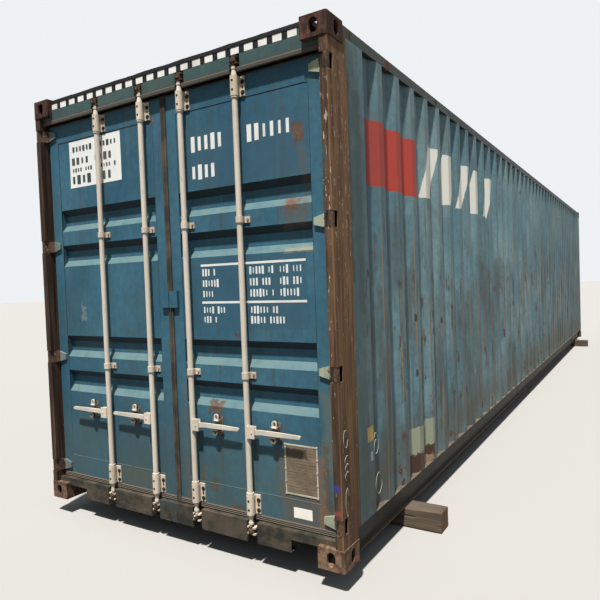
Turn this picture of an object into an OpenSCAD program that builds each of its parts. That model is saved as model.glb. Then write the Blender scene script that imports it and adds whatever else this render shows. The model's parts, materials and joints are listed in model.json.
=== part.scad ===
// Forty foot high cube shipping container, standing on two timber sleepers.
// X runs along the length with the door end at -X, Z is up and z = 0 is the underside of the sleepers.
// Heights named in the modules count from the undersides of the bottom corner fittings.

/* [Overall] */
// Length over the corner fittings
length = 12192; // [11000:1:12800]
// Width over the corner fittings
width = 2438; // [2400:1:2500]
// Height over the corner fittings
height = 2896; // [2850:1:2950]

/* [Corner fittings] */
// Length of a fitting along the container
fit_l = 178; // [178:1:190]
// Width of a fitting across the container
fit_w = 162; // [162:1:170]
// Height of a fitting
fit_h = 118; // [118:1:124]
// Thickness of the outer walls of a fitting
fit_wall = 16; // [12:1:18]
// Thickness of the apertured top or bottom wall of a fitting
fit_plate = 28; // [24:1:30]
// Radius of the outer upright edge of a fitting
fit_edge_r = 14.5; // [8:0.5:16]
// Distance from each end to the middle of a twistlock slot
slot_end = 103.5; // [98:0.5:106]
// Distance from each side to the middle of a twistlock slot
slot_side = 89.5; // [86:0.5:92]
// Overall length of a twistlock slot
slot_l = 124; // [110:1:130]
// Width of a twistlock slot
slot_w = 63.5; // [56:0.5:66]
// Height of the upright lashing holes
hole_h = 79; // [66:1:80]
// Width of the upright lashing holes
hole_w = 51; // [40:1:56]

/* [Posts] */
// Setback of the posts behind the faces of the fittings
post_in = 6; // [4:1:8]
// Width of the front lobe of a door end post
lobe_w = 48; // [44:1:52]
// Depth of a door end post along the side
post_d = 212; // [200:1:224]
// Width of the rear lobe of a door end post
post_w = 104; // [96:1:112]
// Thickness of the bar at the front of a door end post
bar_t = 12; // [8:1:14]
// Thickness of the folded post steel
post_t = 6; // [4:0.5:8]
// Depth of a far end post along the side
far_post_d = 172; // [160:1:172]
// Width of a far end post across the end
far_post_w = 156; // [140:1:156]

/* [Rails] */
// Setback of the top rails, walls and rail flanges behind the side faces
rail_in = 8; // [6:1:12]
// Side of the square tube of the top rails
top_rail = 60; // [50:1:70]
// Wall of the top rail tube
top_rail_t = 3; // [2:0.5:5]
// Drop of the top rails below the tops of the fittings
top_drop = 10; // [8:1:16]
// Height of the bottom rail channel
rail_h = 158; // [140:1:170]
// Width of the upper flange of the bottom rail
rail_flange = 48; // [46:1:56]
// Width of the lower flange of the bottom rail
rail_lip = 30; // [20:1:36]
// Thickness of the bottom rail steel
rail_t = 4.5; // [3:0.5:6]
// Height of the bottom rails above the undersides of the fittings
rail_up = 17; // [12.5:0.5:20]

/* [Panels] */
// Thickness of the side, end and roof sheets
sheet_t = 2; // [1.6:0.1:3]
// Pitch of the side wall corrugations
side_pitch = 278; // [270:1:290]
// Width of the outer flats of the side wall
side_crest = 72; // [60:1:80]
// Width of each slope of the side wall
side_slope = 68; // [60:1:74]
// Depth of the side wall corrugations
side_depth = 36; // [30:1:38]
// Length of the flat side sheet beside each post
side_flat = 211; // [180:1:230]
// Pitch of the end wall corrugations
end_pitch = 250; // [240:1:260]
// Width of the outer flats of the end wall
end_crest = 110; // [100:1:116]
// Width of each slope of the end wall
end_slope = 18; // [14:1:24]
// Depth of the end wall corrugations
end_depth = 45.6; // [40:0.1:50]
// Pitch of the roof corrugations
roof_pitch = 209; // [200:1:220]
// Width of the raised flats of the roof
roof_crest = 91; // [80:1:96]
// Width of each slope of the roof
roof_slope = 13.5; // [10:0.5:18]
// Depth of the roof corrugations
roof_depth = 20; // [14:1:22]

/* [Floor] */
// Thickness of the plywood floor
floor_t = 28; // [24:1:32]
// Height of the cross members
cross_h = 122; // [110:1:124]
// Flange width of the cross members
cross_w = 45; // [40:1:60]
// Thickness of the cross member steel
cross_t = 4; // [3:0.5:5]
// Pitch of the cross members
cross_pitch = 305; // [280:1:330]
// Clear width of the gooseneck tunnel
tunnel_w = 1029; // [1000:1:1040]
// Clear height of the gooseneck tunnel
tunnel_h = 118; // [110:1:120]
// Length of the gooseneck tunnel
tunnel_l = 3200; // [3000:10:3315]

/* [Door end frame] */
// Setback of the header face
header_in = 36; // [32:1:40]
// Height of the header face
header_h = 143; // [138:1:148]
// Drop of the lip along the foot of the header
lip_drop = 23; // [16:1:24]
// Reach of that lip before the header face
lip_out = 6; // [3:1:8]
// Depth of that lip along the container
lip_d = 14; // [12:1:16]
// Half width of the gaps in that lip at the lock rods
lip_gap = 26; // [25:1:27]
// Setback of the sill face
sill_in = 32; // [28:1:36]
// Height of the top of the sill face
sill_top = 148; // [144:1:152]
// Height of the bottom of the sill face
sill_bottom = 26; // [20:1:30]
// Thickness of the header and sill steel
frame_t = 4; // [3:0.5:6]
// Setback of the seat that the closed doors lean against
seat_in = 127; // [124:1:130]
// Setback of the backs of the header and the sill
frame_back = 190; // [180:1:200]
// Distance from the centre line to the notch at each end of the sill
sill_notch_y = 870; // [840:1:900]
// Height of the sill above the notch
sill_notch_z = 98; // [90:1:104]
// Depth of the pockets behind the lock rod cams
pocket_back = 92; // [90:1:96]

/* [Doors] */
// Setback of the outer door face
door_in = 72; // [70:1:76]
// Thickness of a door frame
door_t = 50; // [44:1:50]
// Distance from the side face to the hinge edge of a door
door_edge = 69; // [66:1:72]
// Half of the gap between the two door frames
door_gap = 8; // [7:1:10]
// Height of the bottom of the doors
door_bottom = 182; // [180:1:186]
// Drop of the top of the doors below the tops of the fittings
door_drop = 184; // [182:1:190]
// Width of the upright members of a door frame
stile_w = 94; // [86:1:104]
// Height of the lower member of a door frame
rail_low = 130; // [124:1:140]
// Height of the upper member of a door frame
rail_high = 122; // [116:1:130]
// Wall of the door frame members
stile_t = 3.2; // [2.5:0.1:5]
// Depth of the troughs pressed in the door panels
trough_depth = 36; // [28:1:38]
// Distance from the middle height of a door to the inner pair of troughs
trough_inner = 251; // [220:1:280]
// Distance from the middle height of a door to the outer pair of troughs
trough_outer = 504; // [480:1:540]
// Height of a trough at the door face
trough_h = 153; // [146:1:160]
// Height of each sloping side of a trough
trough_slope = 42; // [36:1:46]
// Setback of the door panel behind the frame face
panel_in = 2; // [1:0.5:3]
// Reach of the gasket towards the posts
gasket_side = 13; // [10:0.5:13]
// Half width of the gasket strip at the centre
gasket_mid = 20; // [16:1:24]
// Height of the bridge plate between the doors
bridge_h = 105; // [90:1:120]
// Half width of the bridge plate
bridge_w = 70; // [60:1:80]
// Thickness of the bridge plate
bridge_t = 8; // [5:1:10]

/* [Hinges] */
// Height of the lowest hinge
hinge_low = 236; // [228:1:250]
// Drop of the highest hinge below the tops of the fittings
hinge_drop = 244; // [236:1:260]
// Number of hinges of each door
hinge_count = 4; // [3:1:5]
// Setback of the hinge pins behind the end plane
pin_in = 20; // [19:0.5:22]
// Distance of the hinge pins from the side plane
pin_side = 20; // [19:0.5:22]
// Radius of the hinge pins
pin_r = 9; // [8:0.5:10]
// Clearance around the hinge pins
pin_gap = 0.1; // [0.05:0.01:0.1]
// Radius of a hinge knuckle
knuckle_r = 16; // [15:0.5:17]
// Height of a hinge blade at its knuckle
blade_h = 80; // [70:1:86]
// Height of a hinge blade at its tip
blade_tip_h = 38; // [30:1:50]
// Thickness of a hinge blade
blade_t = 14; // [10:1:16]
// Distance from the pin to the tip of a hinge blade
blade_l = 128; // [110:1:140]
// Clear height of the notch beyond the hinge knuckle
notch_gap = 2; // [1:0.5:4]
// Thickness of the lugs that hold a hinge pin
lug_t = 10; // [8:1:14]
// Depth of the notches in the posts
notch_d = 64; // [60:1:66]

/* [Lock rods] */
// Setback of the lock rod axes
rod_in = 39; // [38:0.5:41]
// Distance of the inner lock rods from the centre line
rod_inner = 171; // [160:1:180]
// Distance of the outer lock rods from the centre line
rod_outer = 593; // [580:1:605]
// Radius of a lock rod
rod_r = 17; // [15:0.5:18]
// Radius of the rod in its upper and lower necks
neck_r = 12; // [10:0.5:12]
// Radius of the bead on each neck
bead_r = 15; // [14:0.5:17]
// Height of the bead on each neck
bead_h = 12; // [8:1:16]
// Distance from the middle of a cam to the nearer end of the bead
bead_off = 36; // [30:1:40]
// Running clearance of the rod in its bearings
rod_gap = 0.5; // [0.3:0.1:1]
// Drop of the middle of the upper cams below the tops of the fittings
cam_drop = 104; // [100:1:110]
// Height of the middle of the lower cams
cam_low = 95; // [90:1:100]
// Thickness of a cam
cam_t = 18; // [14:1:20]
// Radius of the inner side of a cam hook
hook_in = 28; // [27:0.5:29]
// Radius of the outer side of a cam hook
hook_out = 37; // [34:0.5:38]
// Length of the upper and lower bearings
bearing_l = 112; // [100:1:120]
// Radius of the front lobe of a cam
lobe_r = 24; // [20:0.5:25]
// Outer radius of the bearings
bearing_r = 24; // [22:0.5:26]
// Distance from the rod axis to the far edge of a bearing flange
flange_out = 52; // [46:1:62]
// Height of the collar above a lower bearing
collar_h = 16; // [8:1:20]
// Height of the guide clamps
guide_h = 36; // [30:1:44]
// Distance from the middle height of a door to the guide clamps
guide_off = 449; // [430:1:470]
// Distance from the rod axis to the keeper pin
keeper_r = 20; // [19:0.5:20.5]
// Radius of the keeper pin
keeper_pin_r = 5; // [4:0.5:5]
// Thickness of the keeper plates above and below a cam
keeper_t = 8; // [6:1:10]
// Reach of a keeper plate from the rod axis on its long side
keeper_long = 34; // [30:1:38]
// Reach of a keeper plate from the rod axis on its short side
keeper_short = 25; // [22:1:26]
// Reach of the keeper horns before the rod axis
keeper_out = 14; // [8:1:18]
// Radius of the mouth of a keeper plate around the neck
mouth_r = 16; // [15:0.5:17]

/* [Handles] */
// Height of the handle pivots
pivot_z = 676; // [660:1:700]
// Distance from the rod axis to the handle pivot
pivot_y = 43; // [40:1:48]
// Distance from the rod axis to the tip of a handle
handle_l = 365; // [330:1:385]
// Height of the hub plates that hold a handle
hub_h = 70; // [60:1:80]
// Distance from the rod axis to the near edge of the hub plates
hub_in = 8; // [4:1:12]
// Height of the handle bar
bar_h = 26; // [24:1:32]
// Thickness of the handle bar
bar_d = 12; // [10:1:13]
// Distance from the rod axis to the middle of a retainer
catch_y = 182; // [170:1:195]

/* [Timbers] */
// Height of a timber sleeper
timber_h = 131; // [120:1:150]
// Width of a timber sleeper
timber_w = 150; // [120:1:180]
// Reach of the timbers beyond the sides
timber_out = 215; // [150:1:240]
// Distance from each end to the middle of the nearest timber
timber_x = 990; // [800:1:1200]

/* [Hidden] */

$fn = 40;
roof_lap = 300;
cut = 1;

lift = timber_h - rail_up;
half_l = length / 2;
half_w = width / 2;
fit_top = height - fit_h;

top_z = height - top_drop;
rail_top_z = rail_up + rail_h;
wall_top_z = top_z - top_rail;
rail_web_y = half_w - rail_in - rail_flange;

floor_top_z = rail_top_z;
cross_z = floor_top_z - floor_t - cross_h;

header_top_z = top_z + 2;
header_low_z = header_top_z - header_h;
far_header_z = top_z - 84;
door_top = height - door_drop;
door_mid = (door_bottom + door_top) / 2;
cam_high = height - cam_drop;
side_start = post_in + post_d + side_flat;
side_count = floor((length - 2 * side_start + side_crest) / side_pitch);
side_trough = side_pitch - side_crest - 2 * side_slope;

steel = "#3d5f6b";
rust = "#5c3a28";
cream = "#c9c2b2";
dark_rubber = "#3a322c";
wood = "#8a7256";

rod_ys = [rod_outer, rod_inner, -rod_inner, -rod_outer];
hinge_step = (height - hinge_drop - hinge_low) / (hinge_count - 1);
hinge_zs = [for (i = [0 : hinge_count - 1]) hinge_low + i * hinge_step];
trough_zs = [door_mid - trough_outer - trough_h, door_mid - trough_inner - trough_h,
             door_mid + trough_inner, door_mid + trough_outer];
guide_zs = [door_mid - guide_off, door_mid + guide_off];

bearing_low = [door_bottom + 6, door_bottom + 6 + bearing_l];
bearing_high = [door_top - 6 - bearing_l, door_top - 6];
bridge_out = 22;
bridge_split = 3;
hub_front = 14;
hub_plate = 6;
hub_gap = 1;
pivot_r = 6;
bar_z = 5;
barrel_in = 47;
barrel_z = pivot_z + bar_z + bar_h / 2 + 17;
barrel_r = 6.5;
barrel_pin_r = 3.5;
flap_half = 17;
eye_r = 9;
ring_r = 20;
lip_rise = 6;
shelf_gap = 5;
shelf_t = 5;
shelf_z = pivot_z + bar_z - bar_h / 2 - shelf_gap - shelf_t;
ring_z = shelf_z + shelf_t - ring_r;

// Everything above the sleepers stands on this lift
module on_timbers() { translate([0, 0, lift]) children(); }

// Mirrors what is drawn for the right side, at -Y, to the left side when left is true
module side(left) {
    if (left) mirror([0, 1, 0]) children();
    else children();
}

// A point grid for a trapezoid sheet: n troughs along the run, from the crest plane
function wave(start, n, pitch, slope, trough, depth) = [
    for (i = [0 : n - 1]) each [
        [start + i * pitch, 0],
        [start + i * pitch + slope, depth],
        [start + i * pitch + slope + trough, depth],
        [start + i * pitch + 2 * slope + trough, 0]
    ]
];

// The outline of a sheet of thickness t that follows the points
function sheet(points, t) = concat(points, [for (i = [len(points) - 1 : -1 : 0]) [points[i][0], points[i][1] + t]]);

module slot_2d(l, w) {
    union() {
        square([l - w, w], center = true);
        translate([(l - w) / 2, 0]) circle(d = w);
        translate([-(l - w) / 2, 0]) circle(d = w);
    }
}

// One top corner fitting with its outer corner at the origin, growing along +X, +Y and down
module fitting() {
    difference() {
        union() {
            translate([fit_edge_r, 0, -fit_h]) cube([fit_l - fit_edge_r, fit_w, fit_h]);
            translate([0, fit_edge_r, -fit_h]) cube([fit_l, fit_w - fit_edge_r, fit_h]);
            translate([fit_edge_r, fit_edge_r, -fit_h]) cylinder(r = fit_edge_r, h = fit_h);
        }
        translate([fit_wall, fit_wall, -fit_h + fit_wall])
            cube([fit_l - 2 * fit_wall, fit_w - 2 * fit_wall, fit_h - fit_wall - fit_plate]);
        translate([slot_end, slot_side, -fit_plate - cut])
            linear_extrude(fit_plate + 2 * cut) slot_2d(slot_l, slot_w);
        translate([-cut, fit_w / 2, -fit_h / 2])
            rotate([0, 90, 0]) linear_extrude(fit_wall + 2 * cut) slot_2d(hole_h, hole_w);
        translate([slot_end, -cut, -fit_h / 2])
            rotate([0, 90, 90]) linear_extrude(fit_wall + 2 * cut) slot_2d(hole_h, hole_w);
    }
}

module four_fittings() {
    for (mx = [0, 1]) for (my = [0, 1])
        mirror([mx, 0, 0]) mirror([0, my, 0])
            translate([-half_l, -half_w, 0]) fitting();
}

module top_corner_fittings() {
    color(rust) on_timbers() translate([0, 0, height]) four_fittings();
}

module bottom_corner_fittings() {
    color(rust) on_timbers() mirror([0, 0, 1]) four_fittings();
}

module hinge_notch() {
    notch_h = blade_h + 2 * notch_gap;
    translate([-cut, -cut, -notch_h / 2]) cube([notch_d + cut, post_in + lobe_w + 2 * cut, notch_h]);
}

// The lugs and the pin of one hinge, about the pin axis
module hinge_lugs() {
    gap_h = blade_h / 2 + notch_gap;
    for (z = [-gap_h - lug_t, gap_h])
        translate([post_in, post_in, z]) cube([notch_d - post_in, lobe_w, lug_t]);
    translate([pin_in, pin_side, -gap_h - lug_t]) cylinder(r = pin_r, h = 2 * gap_h + 2 * lug_t);
}

module door_end_post(left) {
    a = post_in;
    color(rust) on_timbers() side(left) translate([-half_l, -half_w, 0]) union() {
        difference() {
            translate([0, 0, fit_h]) linear_extrude(fit_top - fit_h) difference() {
                polygon([[a, a], [a + post_d, a], [a + post_d, a + post_w],
                         [seat_in, a + post_w], [seat_in, a + lobe_w], [a, a + lobe_w]]);
                polygon([[a + bar_t, a + post_t], [a + post_d - post_t, a + post_t],
                         [a + post_d - post_t, a + post_w - post_t], [seat_in + post_t, a + post_w - post_t],
                         [seat_in + post_t, a + lobe_w - post_t], [a + bar_t, a + lobe_w - post_t]]);
            }
            for (z = hinge_zs) translate([0, 0, z]) hinge_notch();
            translate([fit_l, -cut, fit_h - cut]) cube([post_d, post_w + 20, rail_top_z - fit_h + cut]);
        }
        for (z = hinge_zs) translate([0, 0, z]) hinge_lugs();
        translate([fit_l, a, fit_top]) cube([a + post_d - fit_l, 50, wall_top_z - fit_top]);
    }
}

module far_end_post(left) {
    a = post_in;
    color(steel) on_timbers() side(left) translate([half_l, -half_w, fit_h])
        linear_extrude(fit_top - fit_h) difference() {
            polygon([[-a, a], [-a, a + far_post_w], [-a - 50, a + far_post_w], [-a - 50, a + 70],
                     [-a - far_post_d, a + 50], [-a - far_post_d, a]]);
            polygon([[-a - post_t, a + post_t], [-a - post_t, a + far_post_w - post_t],
                     [-a - 50 + post_t, a + far_post_w - post_t], [-a - 50 + post_t, a + 70 - post_t],
                     [-a - far_post_d + post_t, a + 50 - post_t], [-a - far_post_d + post_t, a + post_t]]);
        }
}

// A bar along Y between -reach and +reach, of a section drawn with X as setback and Y as height
module across(reach) {
    translate([0, reach, 0]) rotate([90, 0, 0]) linear_extrude(2 * reach) children();
}

module pocket_boxes(z0, z1, front) {
    for (y = rod_ys) {
        out = y > 0 ? 1 : -1;
        low = out > 0 ? y - 28 : y - 44;
        translate([front - cut, low, z0]) cube([pocket_back - front + cut, 72, z1 - z0]);
    }
}

// Folded linings that close the pockets behind the cams
module pocket_lining(z0, z1, front) {
    for (y = rod_ys) {
        out = y > 0 ? 1 : -1;
        low = out > 0 ? y - 28 : y - 44;
        difference() {
            translate([front, low - frame_t, z0])
                cube([pocket_back - front + frame_t, 72 + 2 * frame_t, z1 - z0]);
            translate([front - cut, low, z0 - cut]) cube([pocket_back - front + cut, 72, z1 - z0 + 2 * cut]);
        }
    }
}

// Plate between a header and the roof sheet, drawn with X as the setback
module roof_plate(front, depth) {
    across(half_w - fit_w) translate([front, header_top_z - frame_t]) square([depth, frame_t]);
    across(half_w - rail_in - top_rail)
        translate([fit_l, header_top_z - frame_t]) square([front + depth - fit_l, frame_t]);
}

// Section of the lip along the foot of the header, with X as the setback
module header_lip() {
    x = header_in - lip_out;
    z = header_low_z;
    bend = 4;
    polygon([[header_in, z + lip_rise], [x + 1, z], [x, z - bend], [x, z - lip_drop + bend],
             [x + bend, z - lip_drop], [x + lip_d - bend, z - lip_drop], [x + lip_d, z - lip_drop + bend],
             [x + lip_d, z + 1], [header_in + 1, z + 1], [header_in + 1, z + lip_rise]]);
}

module door_header() {
    inner = half_w - fit_w;
    lobe_y = half_w - post_in - lobe_w;
    rear_y = half_w - post_in - post_w;
    z0 = header_low_z;
    pocket_z = cam_high + 32;
    color(steel) on_timbers() translate([-half_l, 0, 0]) union() {
        difference() {
            union() {
                // Face, roof plate and underside between the fittings
                across(inner) translate([header_in, z0]) square([frame_t, header_h]);
                roof_plate(header_in, roof_lap);
                // Lower part that runs on below the fittings to the posts
                across(lobe_y) union() {
                    translate([header_in, z0]) square([frame_t, fit_top - z0]);
                    translate([header_in, z0]) square([seat_in - header_in, frame_t]);
                }
                across(rear_y) union() {
                    translate([seat_in, z0 - 50]) square([frame_t, 50 + frame_t]);
                    translate([seat_in, z0]) square([frame_back - seat_in, frame_t]);
                    translate([frame_back - frame_t, z0]) square([frame_t, fit_top - z0]);
                }
                across(inner) translate([frame_back - frame_t, z0]) square([frame_t, header_h - frame_t]);
            }
            pocket_boxes(z0 - cut, pocket_z, header_in);
        }
        pocket_lining(z0, pocket_z, header_in);
        // Rounded lip along the foot, open at the lock rods
        difference() {
            across(lobe_y) header_lip();
            for (y = rod_ys) translate([header_in - lip_out - cut, y - lip_gap, z0 - lip_drop - cut])
                cube([lip_out + lip_d, 2 * lip_gap, lip_drop + 2 * lip_rise]);
        }
    }
}

module door_sill() {
    inner = half_w - fit_w;
    lobe_y = half_w - post_in - lobe_w;
    rear_y = half_w - post_in - post_w;
    color(rust) on_timbers() translate([-half_l, 0, 0]) union() {
        difference() {
            union() {
                across(inner) union() {
                    translate([sill_in, sill_bottom]) square([frame_t, sill_top - sill_bottom]);
                    translate([sill_in, sill_bottom]) square([60, frame_t]);
                    translate([frame_back - frame_t, sill_bottom + 30])
                        square([frame_t, floor_top_z - sill_bottom - 30]);
                }
                across(lobe_y) union() {
                    translate([sill_in, fit_h]) square([frame_t, sill_top - fit_h]);
                    translate([sill_in, sill_top - frame_t]) square([seat_in - sill_in, frame_t]);
                }
                across(rear_y) union() {
                    translate([seat_in, sill_top - frame_t]) square([frame_t, floor_top_z - sill_top + frame_t]);
                    translate([seat_in, floor_top_z - frame_t]) square([frame_back - seat_in, frame_t]);
                }
            }
            pocket_boxes(sill_bottom - cut, sill_top + cut, sill_in);
            for (m = [0, 1]) mirror([0, m, 0])
                translate([sill_in - cut, sill_notch_y, sill_bottom - cut])
                    cube([60 + 2 * cut, half_w, sill_notch_z - sill_bottom + cut]);
        }
        pocket_lining(sill_bottom, sill_top, sill_in);
    }
}

module far_end_header() {
    inner = half_w - fit_w;
    color(steel) on_timbers() translate([half_l, 0, 0]) mirror([1, 0, 0]) union() {
        across(inner) difference() {
            translate([rail_in, far_header_z]) square([80, header_top_z - far_header_z]);
            translate([rail_in + frame_t, far_header_z + frame_t])
                square([80 - 2 * frame_t, header_top_z - far_header_z - 2 * frame_t]);
        }
        roof_plate(rail_in, roof_lap);
    }
}

module far_end_sill() {
    inner = half_w - fit_w;
    color(steel) on_timbers() translate([half_l, 0, 0]) mirror([1, 0, 0]) difference() {
        across(inner) union() {
            translate([rail_in, rail_up]) square([frame_t, rail_h]);
            translate([rail_in, rail_up]) square([60, frame_t]);
            translate([rail_in, rail_top_z - frame_t]) square([60, frame_t]);
        }
        translate([-cut, -tunnel_w / 2 - cross_t, rail_up - cut])
            cube([120, tunnel_w + 2 * cross_t, tunnel_h + cross_t - rail_up + cut]);
    }
}

module top_rail_tube(left) {
    run = length - 2 * fit_l;
    color(steel) on_timbers() side(left) translate([-run / 2, -half_w + rail_in, wall_top_z]) difference() {
        cube([run, top_rail, top_rail]);
        translate([-cut, top_rail_t, top_rail_t])
            cube([run + 2 * cut, top_rail - 2 * top_rail_t, top_rail - 2 * top_rail_t]);
    }
}

module bottom_rail(left) {
    run = length - 2 * fit_l;
    f = rail_flange;
    color("#2c3838") on_timbers() side(left) translate([-run / 2, -half_w + rail_in, rail_up])
        rotate([90, 0, 90]) linear_extrude(run) union() {
            translate([f - rail_t, 0]) square([rail_t, rail_h]);
            translate([0, rail_h - rail_t]) square([f, rail_t]);
            translate([f - rail_lip, 0]) square([rail_lip, rail_t]);
        }
}

module side_wall(left) {
    first = post_in + post_d;
    last = length - post_in - far_post_d;
    points = concat([[first, 0]],
        wave(side_start, side_count, side_pitch, side_slope, side_trough, side_depth), [[last, 0]]);
    color(steel) on_timbers() side(left) translate([-half_l, -half_w + rail_in, rail_top_z])
        linear_extrude(wall_top_z - rail_top_z) polygon(sheet(points, sheet_t));
}

module far_end_wall() {
    reach = half_w - post_in - far_post_w;
    trough = end_pitch - end_crest - 2 * end_slope;
    n = floor((2 * reach - end_crest) / end_pitch);
    start = (2 * reach - n * end_pitch + end_crest) / 2;
    points = concat([[0, 0]], wave(start, n, end_pitch, end_slope, trough, end_depth), [[2 * reach, 0]]);
    color(steel) on_timbers() translate([half_l - rail_in, -reach, rail_top_z])
        rotate([0, 0, 90]) linear_extrude(far_header_z - rail_top_z) polygon(sheet(points, sheet_t));
}

module roof_panel() {
    run = length - header_in - rail_in - 2 * roof_lap;
    reach = half_w - rail_in - top_rail;
    trough = roof_pitch - roof_crest - 2 * roof_slope;
    n = floor((run - roof_crest) / roof_pitch);
    start = (run - n * roof_pitch + roof_crest) / 2;
    points = concat([[0, 0]], wave(start, n, roof_pitch, roof_slope, trough, roof_depth), [[run, 0]]);
    color(steel) on_timbers() translate([-half_l + header_in + roof_lap, 0, top_z]) union() {
        translate([0, reach, sheet_t]) rotate([90, 0, 0]) mirror([0, 1, 0])
            linear_extrude(2 * reach) polygon(sheet(points, sheet_t));
        for (m = [0, 1]) mirror([0, m, 0])
            translate([0, reach - cut, 0]) cube([run, top_rail - 8 + cut, sheet_t]);
    }
}

module plywood_floor() {
    post_end = post_in + post_d;
    front_y = half_w - post_in - post_w;
    back_y = half_w - fit_w;
    color(wood) on_timbers() translate([-half_l, 0, floor_top_z - floor_t]) union() {
        translate([post_end, -rail_web_y, 0]) cube([length - post_end - fit_l, 2 * rail_web_y, floor_t]);
        translate([frame_back, -front_y, 0]) cube([post_end - frame_back + cut, 2 * front_y, floor_t]);
        translate([length - fit_l - cut, -back_y, 0])
            cube([fit_l + cut - rail_in - 60, 2 * back_y, floor_t]);
    }
}

// One cross member between two distances from the centre line
module cross_member(y0, y1) {
    difference() {
        translate([0, y0, 0]) cube([cross_w, y1 - y0, cross_h]);
        translate([cross_t, y0 - cut, cross_t])
            cube([cross_w, y1 - y0 + 2 * cut, cross_h - 2 * cross_t]);
    }
}

module cross_members() {
    y = rail_web_y;
    first = -half_l + frame_back + cross_pitch / 2;
    tunnel_x = half_l - rail_in - tunnel_l - cross_t;
    last = half_l - rail_in - cross_pitch;
    n = floor((last - first) / cross_pitch);
    color("#2c3838") on_timbers() translate([0, 0, cross_z])
        for (i = [0 : n]) {
            x = first + i * cross_pitch;
            if (x + cross_w < tunnel_x) translate([x, 0, 0]) cross_member(-y, y);
            else if (x > tunnel_x + cross_t) {
                translate([x, 0, 0]) cross_member(-y, -tunnel_w / 2 - cross_t);
                translate([x, 0, 0]) cross_member(tunnel_w / 2 + cross_t, y);
            }
        }
}

module gooseneck_tunnel() {
    a = tunnel_w / 2;
    color("#2c3838") on_timbers() translate([half_l - rail_in, 0, 0]) mirror([1, 0, 0]) union() {
        translate([0, -a - cross_t, tunnel_h]) cube([tunnel_l, 2 * a + 2 * cross_t, cross_t]);
        for (m = [0, 1]) mirror([0, m, 0])
            translate([0, a, rail_up]) cube([tunnel_l, cross_t, tunnel_h - rail_up + cut]);
        for (i = [0 : 7])
            translate([120 + i * (tunnel_l - 240) / 7, -a, tunnel_h + cross_t - cut])
                cube([30, 2 * a, cross_z + cross_h - tunnel_h - cross_t + cut]);
        translate([tunnel_l, -a - cross_t, rail_up]) cube([cross_t, 2 * a + 2 * cross_t, tunnel_h + cross_t - rail_up]);
    }
}

// Outline of a keeper plate about the rod axis: two horns that leave a mouth for the neck
module keeper_plate() {
    bend = 6;
    back = pocket_back - rod_in;
    difference() {
        polygon([[back, -keeper_long + bend], [back - bend, -keeper_long], [-keeper_out + bend, -keeper_long],
                 [-keeper_out, -keeper_long + bend], [-keeper_out, keeper_short - bend],
                 [-keeper_out + bend, keeper_short], [back - bend, keeper_short], [back, keeper_short - bend]]);
        circle(r = mouth_r);
        translate([-keeper_out - cut, -mouth_r]) square([keeper_out + cut, 2 * mouth_r]);
    }
}

// A keeper: a pin between two plates that stand out of the pocket, over and under the cam
module keeper() {
    arm = cam_t / 2 + 5;
    high = 2 * (arm + keeper_t);
    color(cream) union() {
        translate([pocket_back - 6, -keeper_long + 6, -high / 2]) cube([6, keeper_long + keeper_short - 12, high]);
        for (z = [-arm - keeper_t, arm]) translate([rod_in, 0, z]) linear_extrude(keeper_t) keeper_plate();
        translate([rod_in + keeper_r, 0, -high / 2]) cylinder(r = keeper_pin_r, h = high);
    }
}

module rod_keepers() {
    on_timbers() for (y = rod_ys) for (z = [cam_low, cam_high])
        translate([-half_l, y, z]) side(y > 0) keeper();
}

module timber_sleepers() {
    color(wood) for (x = [-half_l + timber_x, half_l - timber_x])
        translate([x - timber_w / 2, -half_w - timber_out, 0])
            cube([timber_w, width + 2 * timber_out, timber_h]);
}

module door_frame(left) {
    outer = half_w - door_edge;
    w = outer - door_gap;
    h = door_top - door_bottom;
    x = -half_l + door_in;
    color(steel) on_timbers() side(left) translate([x, -outer, door_bottom]) union() {
        for (y = [0, w - stile_w]) translate([0, y, 0]) difference() {
            cube([door_t, stile_w, h]);
            translate([stile_t, stile_t, stile_t])
                cube([door_t - 2 * stile_t, stile_w - 2 * stile_t, h - 2 * stile_t]);
        }
        for (p = [[0, rail_low], [h - rail_high, rail_high]])
            translate([0, stile_w - cut / 2, p[0]]) difference() {
                cube([door_t, w - 2 * stile_w + cut, p[1]]);
                translate([stile_t, -cut, stile_t])
                    cube([door_t, w - 2 * stile_w + 3 * cut, p[1] - 2 * stile_t]);
            }
        // Half of the seal bridge at the middle of the doors
        translate([-bridge_out, w + door_gap - bridge_w, door_mid - door_bottom - bridge_h / 2]) {
            cube([bridge_t, bridge_w - bridge_split, bridge_h]);
            cube([bridge_out, bridge_t, bridge_h]);
            translate([0, bridge_w - gasket_mid - 2 * bridge_t, 0]) cube([bridge_out, bridge_t, bridge_h]);
        }
    }
}

module door_panel(left) {
    outer = half_w - door_edge - stile_w;
    w = outer - door_gap - stile_w;
    z0 = door_bottom + rail_low;
    z1 = door_top - rail_high;
    flat = trough_h - 2 * trough_slope;
    points = concat([[z0, 0]], [for (z = trough_zs) each [
        [z, 0], [z + trough_slope, trough_depth], [z + trough_slope + flat, trough_depth], [z + trough_h, 0]
    ]], [[z1, 0]]);
    color(steel) on_timbers() side(left) translate([-half_l + door_in + panel_in, -outer, 0])
        rotate([-90, -90, 0]) linear_extrude(w) polygon(sheet(points, sheet_t));
}

module door_gasket(left) {
    outer = half_w - door_edge;
    w = outer - door_gap;
    h = door_top - door_bottom;
    low = sill_top + 2.5;
    high = header_low_z - lip_drop - 2.5;
    x = -half_l;
    color(dark_rubber) on_timbers() side(left) union() {
        translate([x + door_in + 4, -outer - gasket_side, low])
            cube([door_t - 8, gasket_side, high - low]);
        for (z = [[low, door_bottom - low], [door_top, high - door_top]])
            translate([x + door_in - 8, -outer, z[0]]) cube([door_t + 4, w, z[1]]);
        translate([x + door_in - 12, -gasket_mid, low]) cube([12, gasket_mid - 1.2, high - low]);
    }
}

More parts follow.
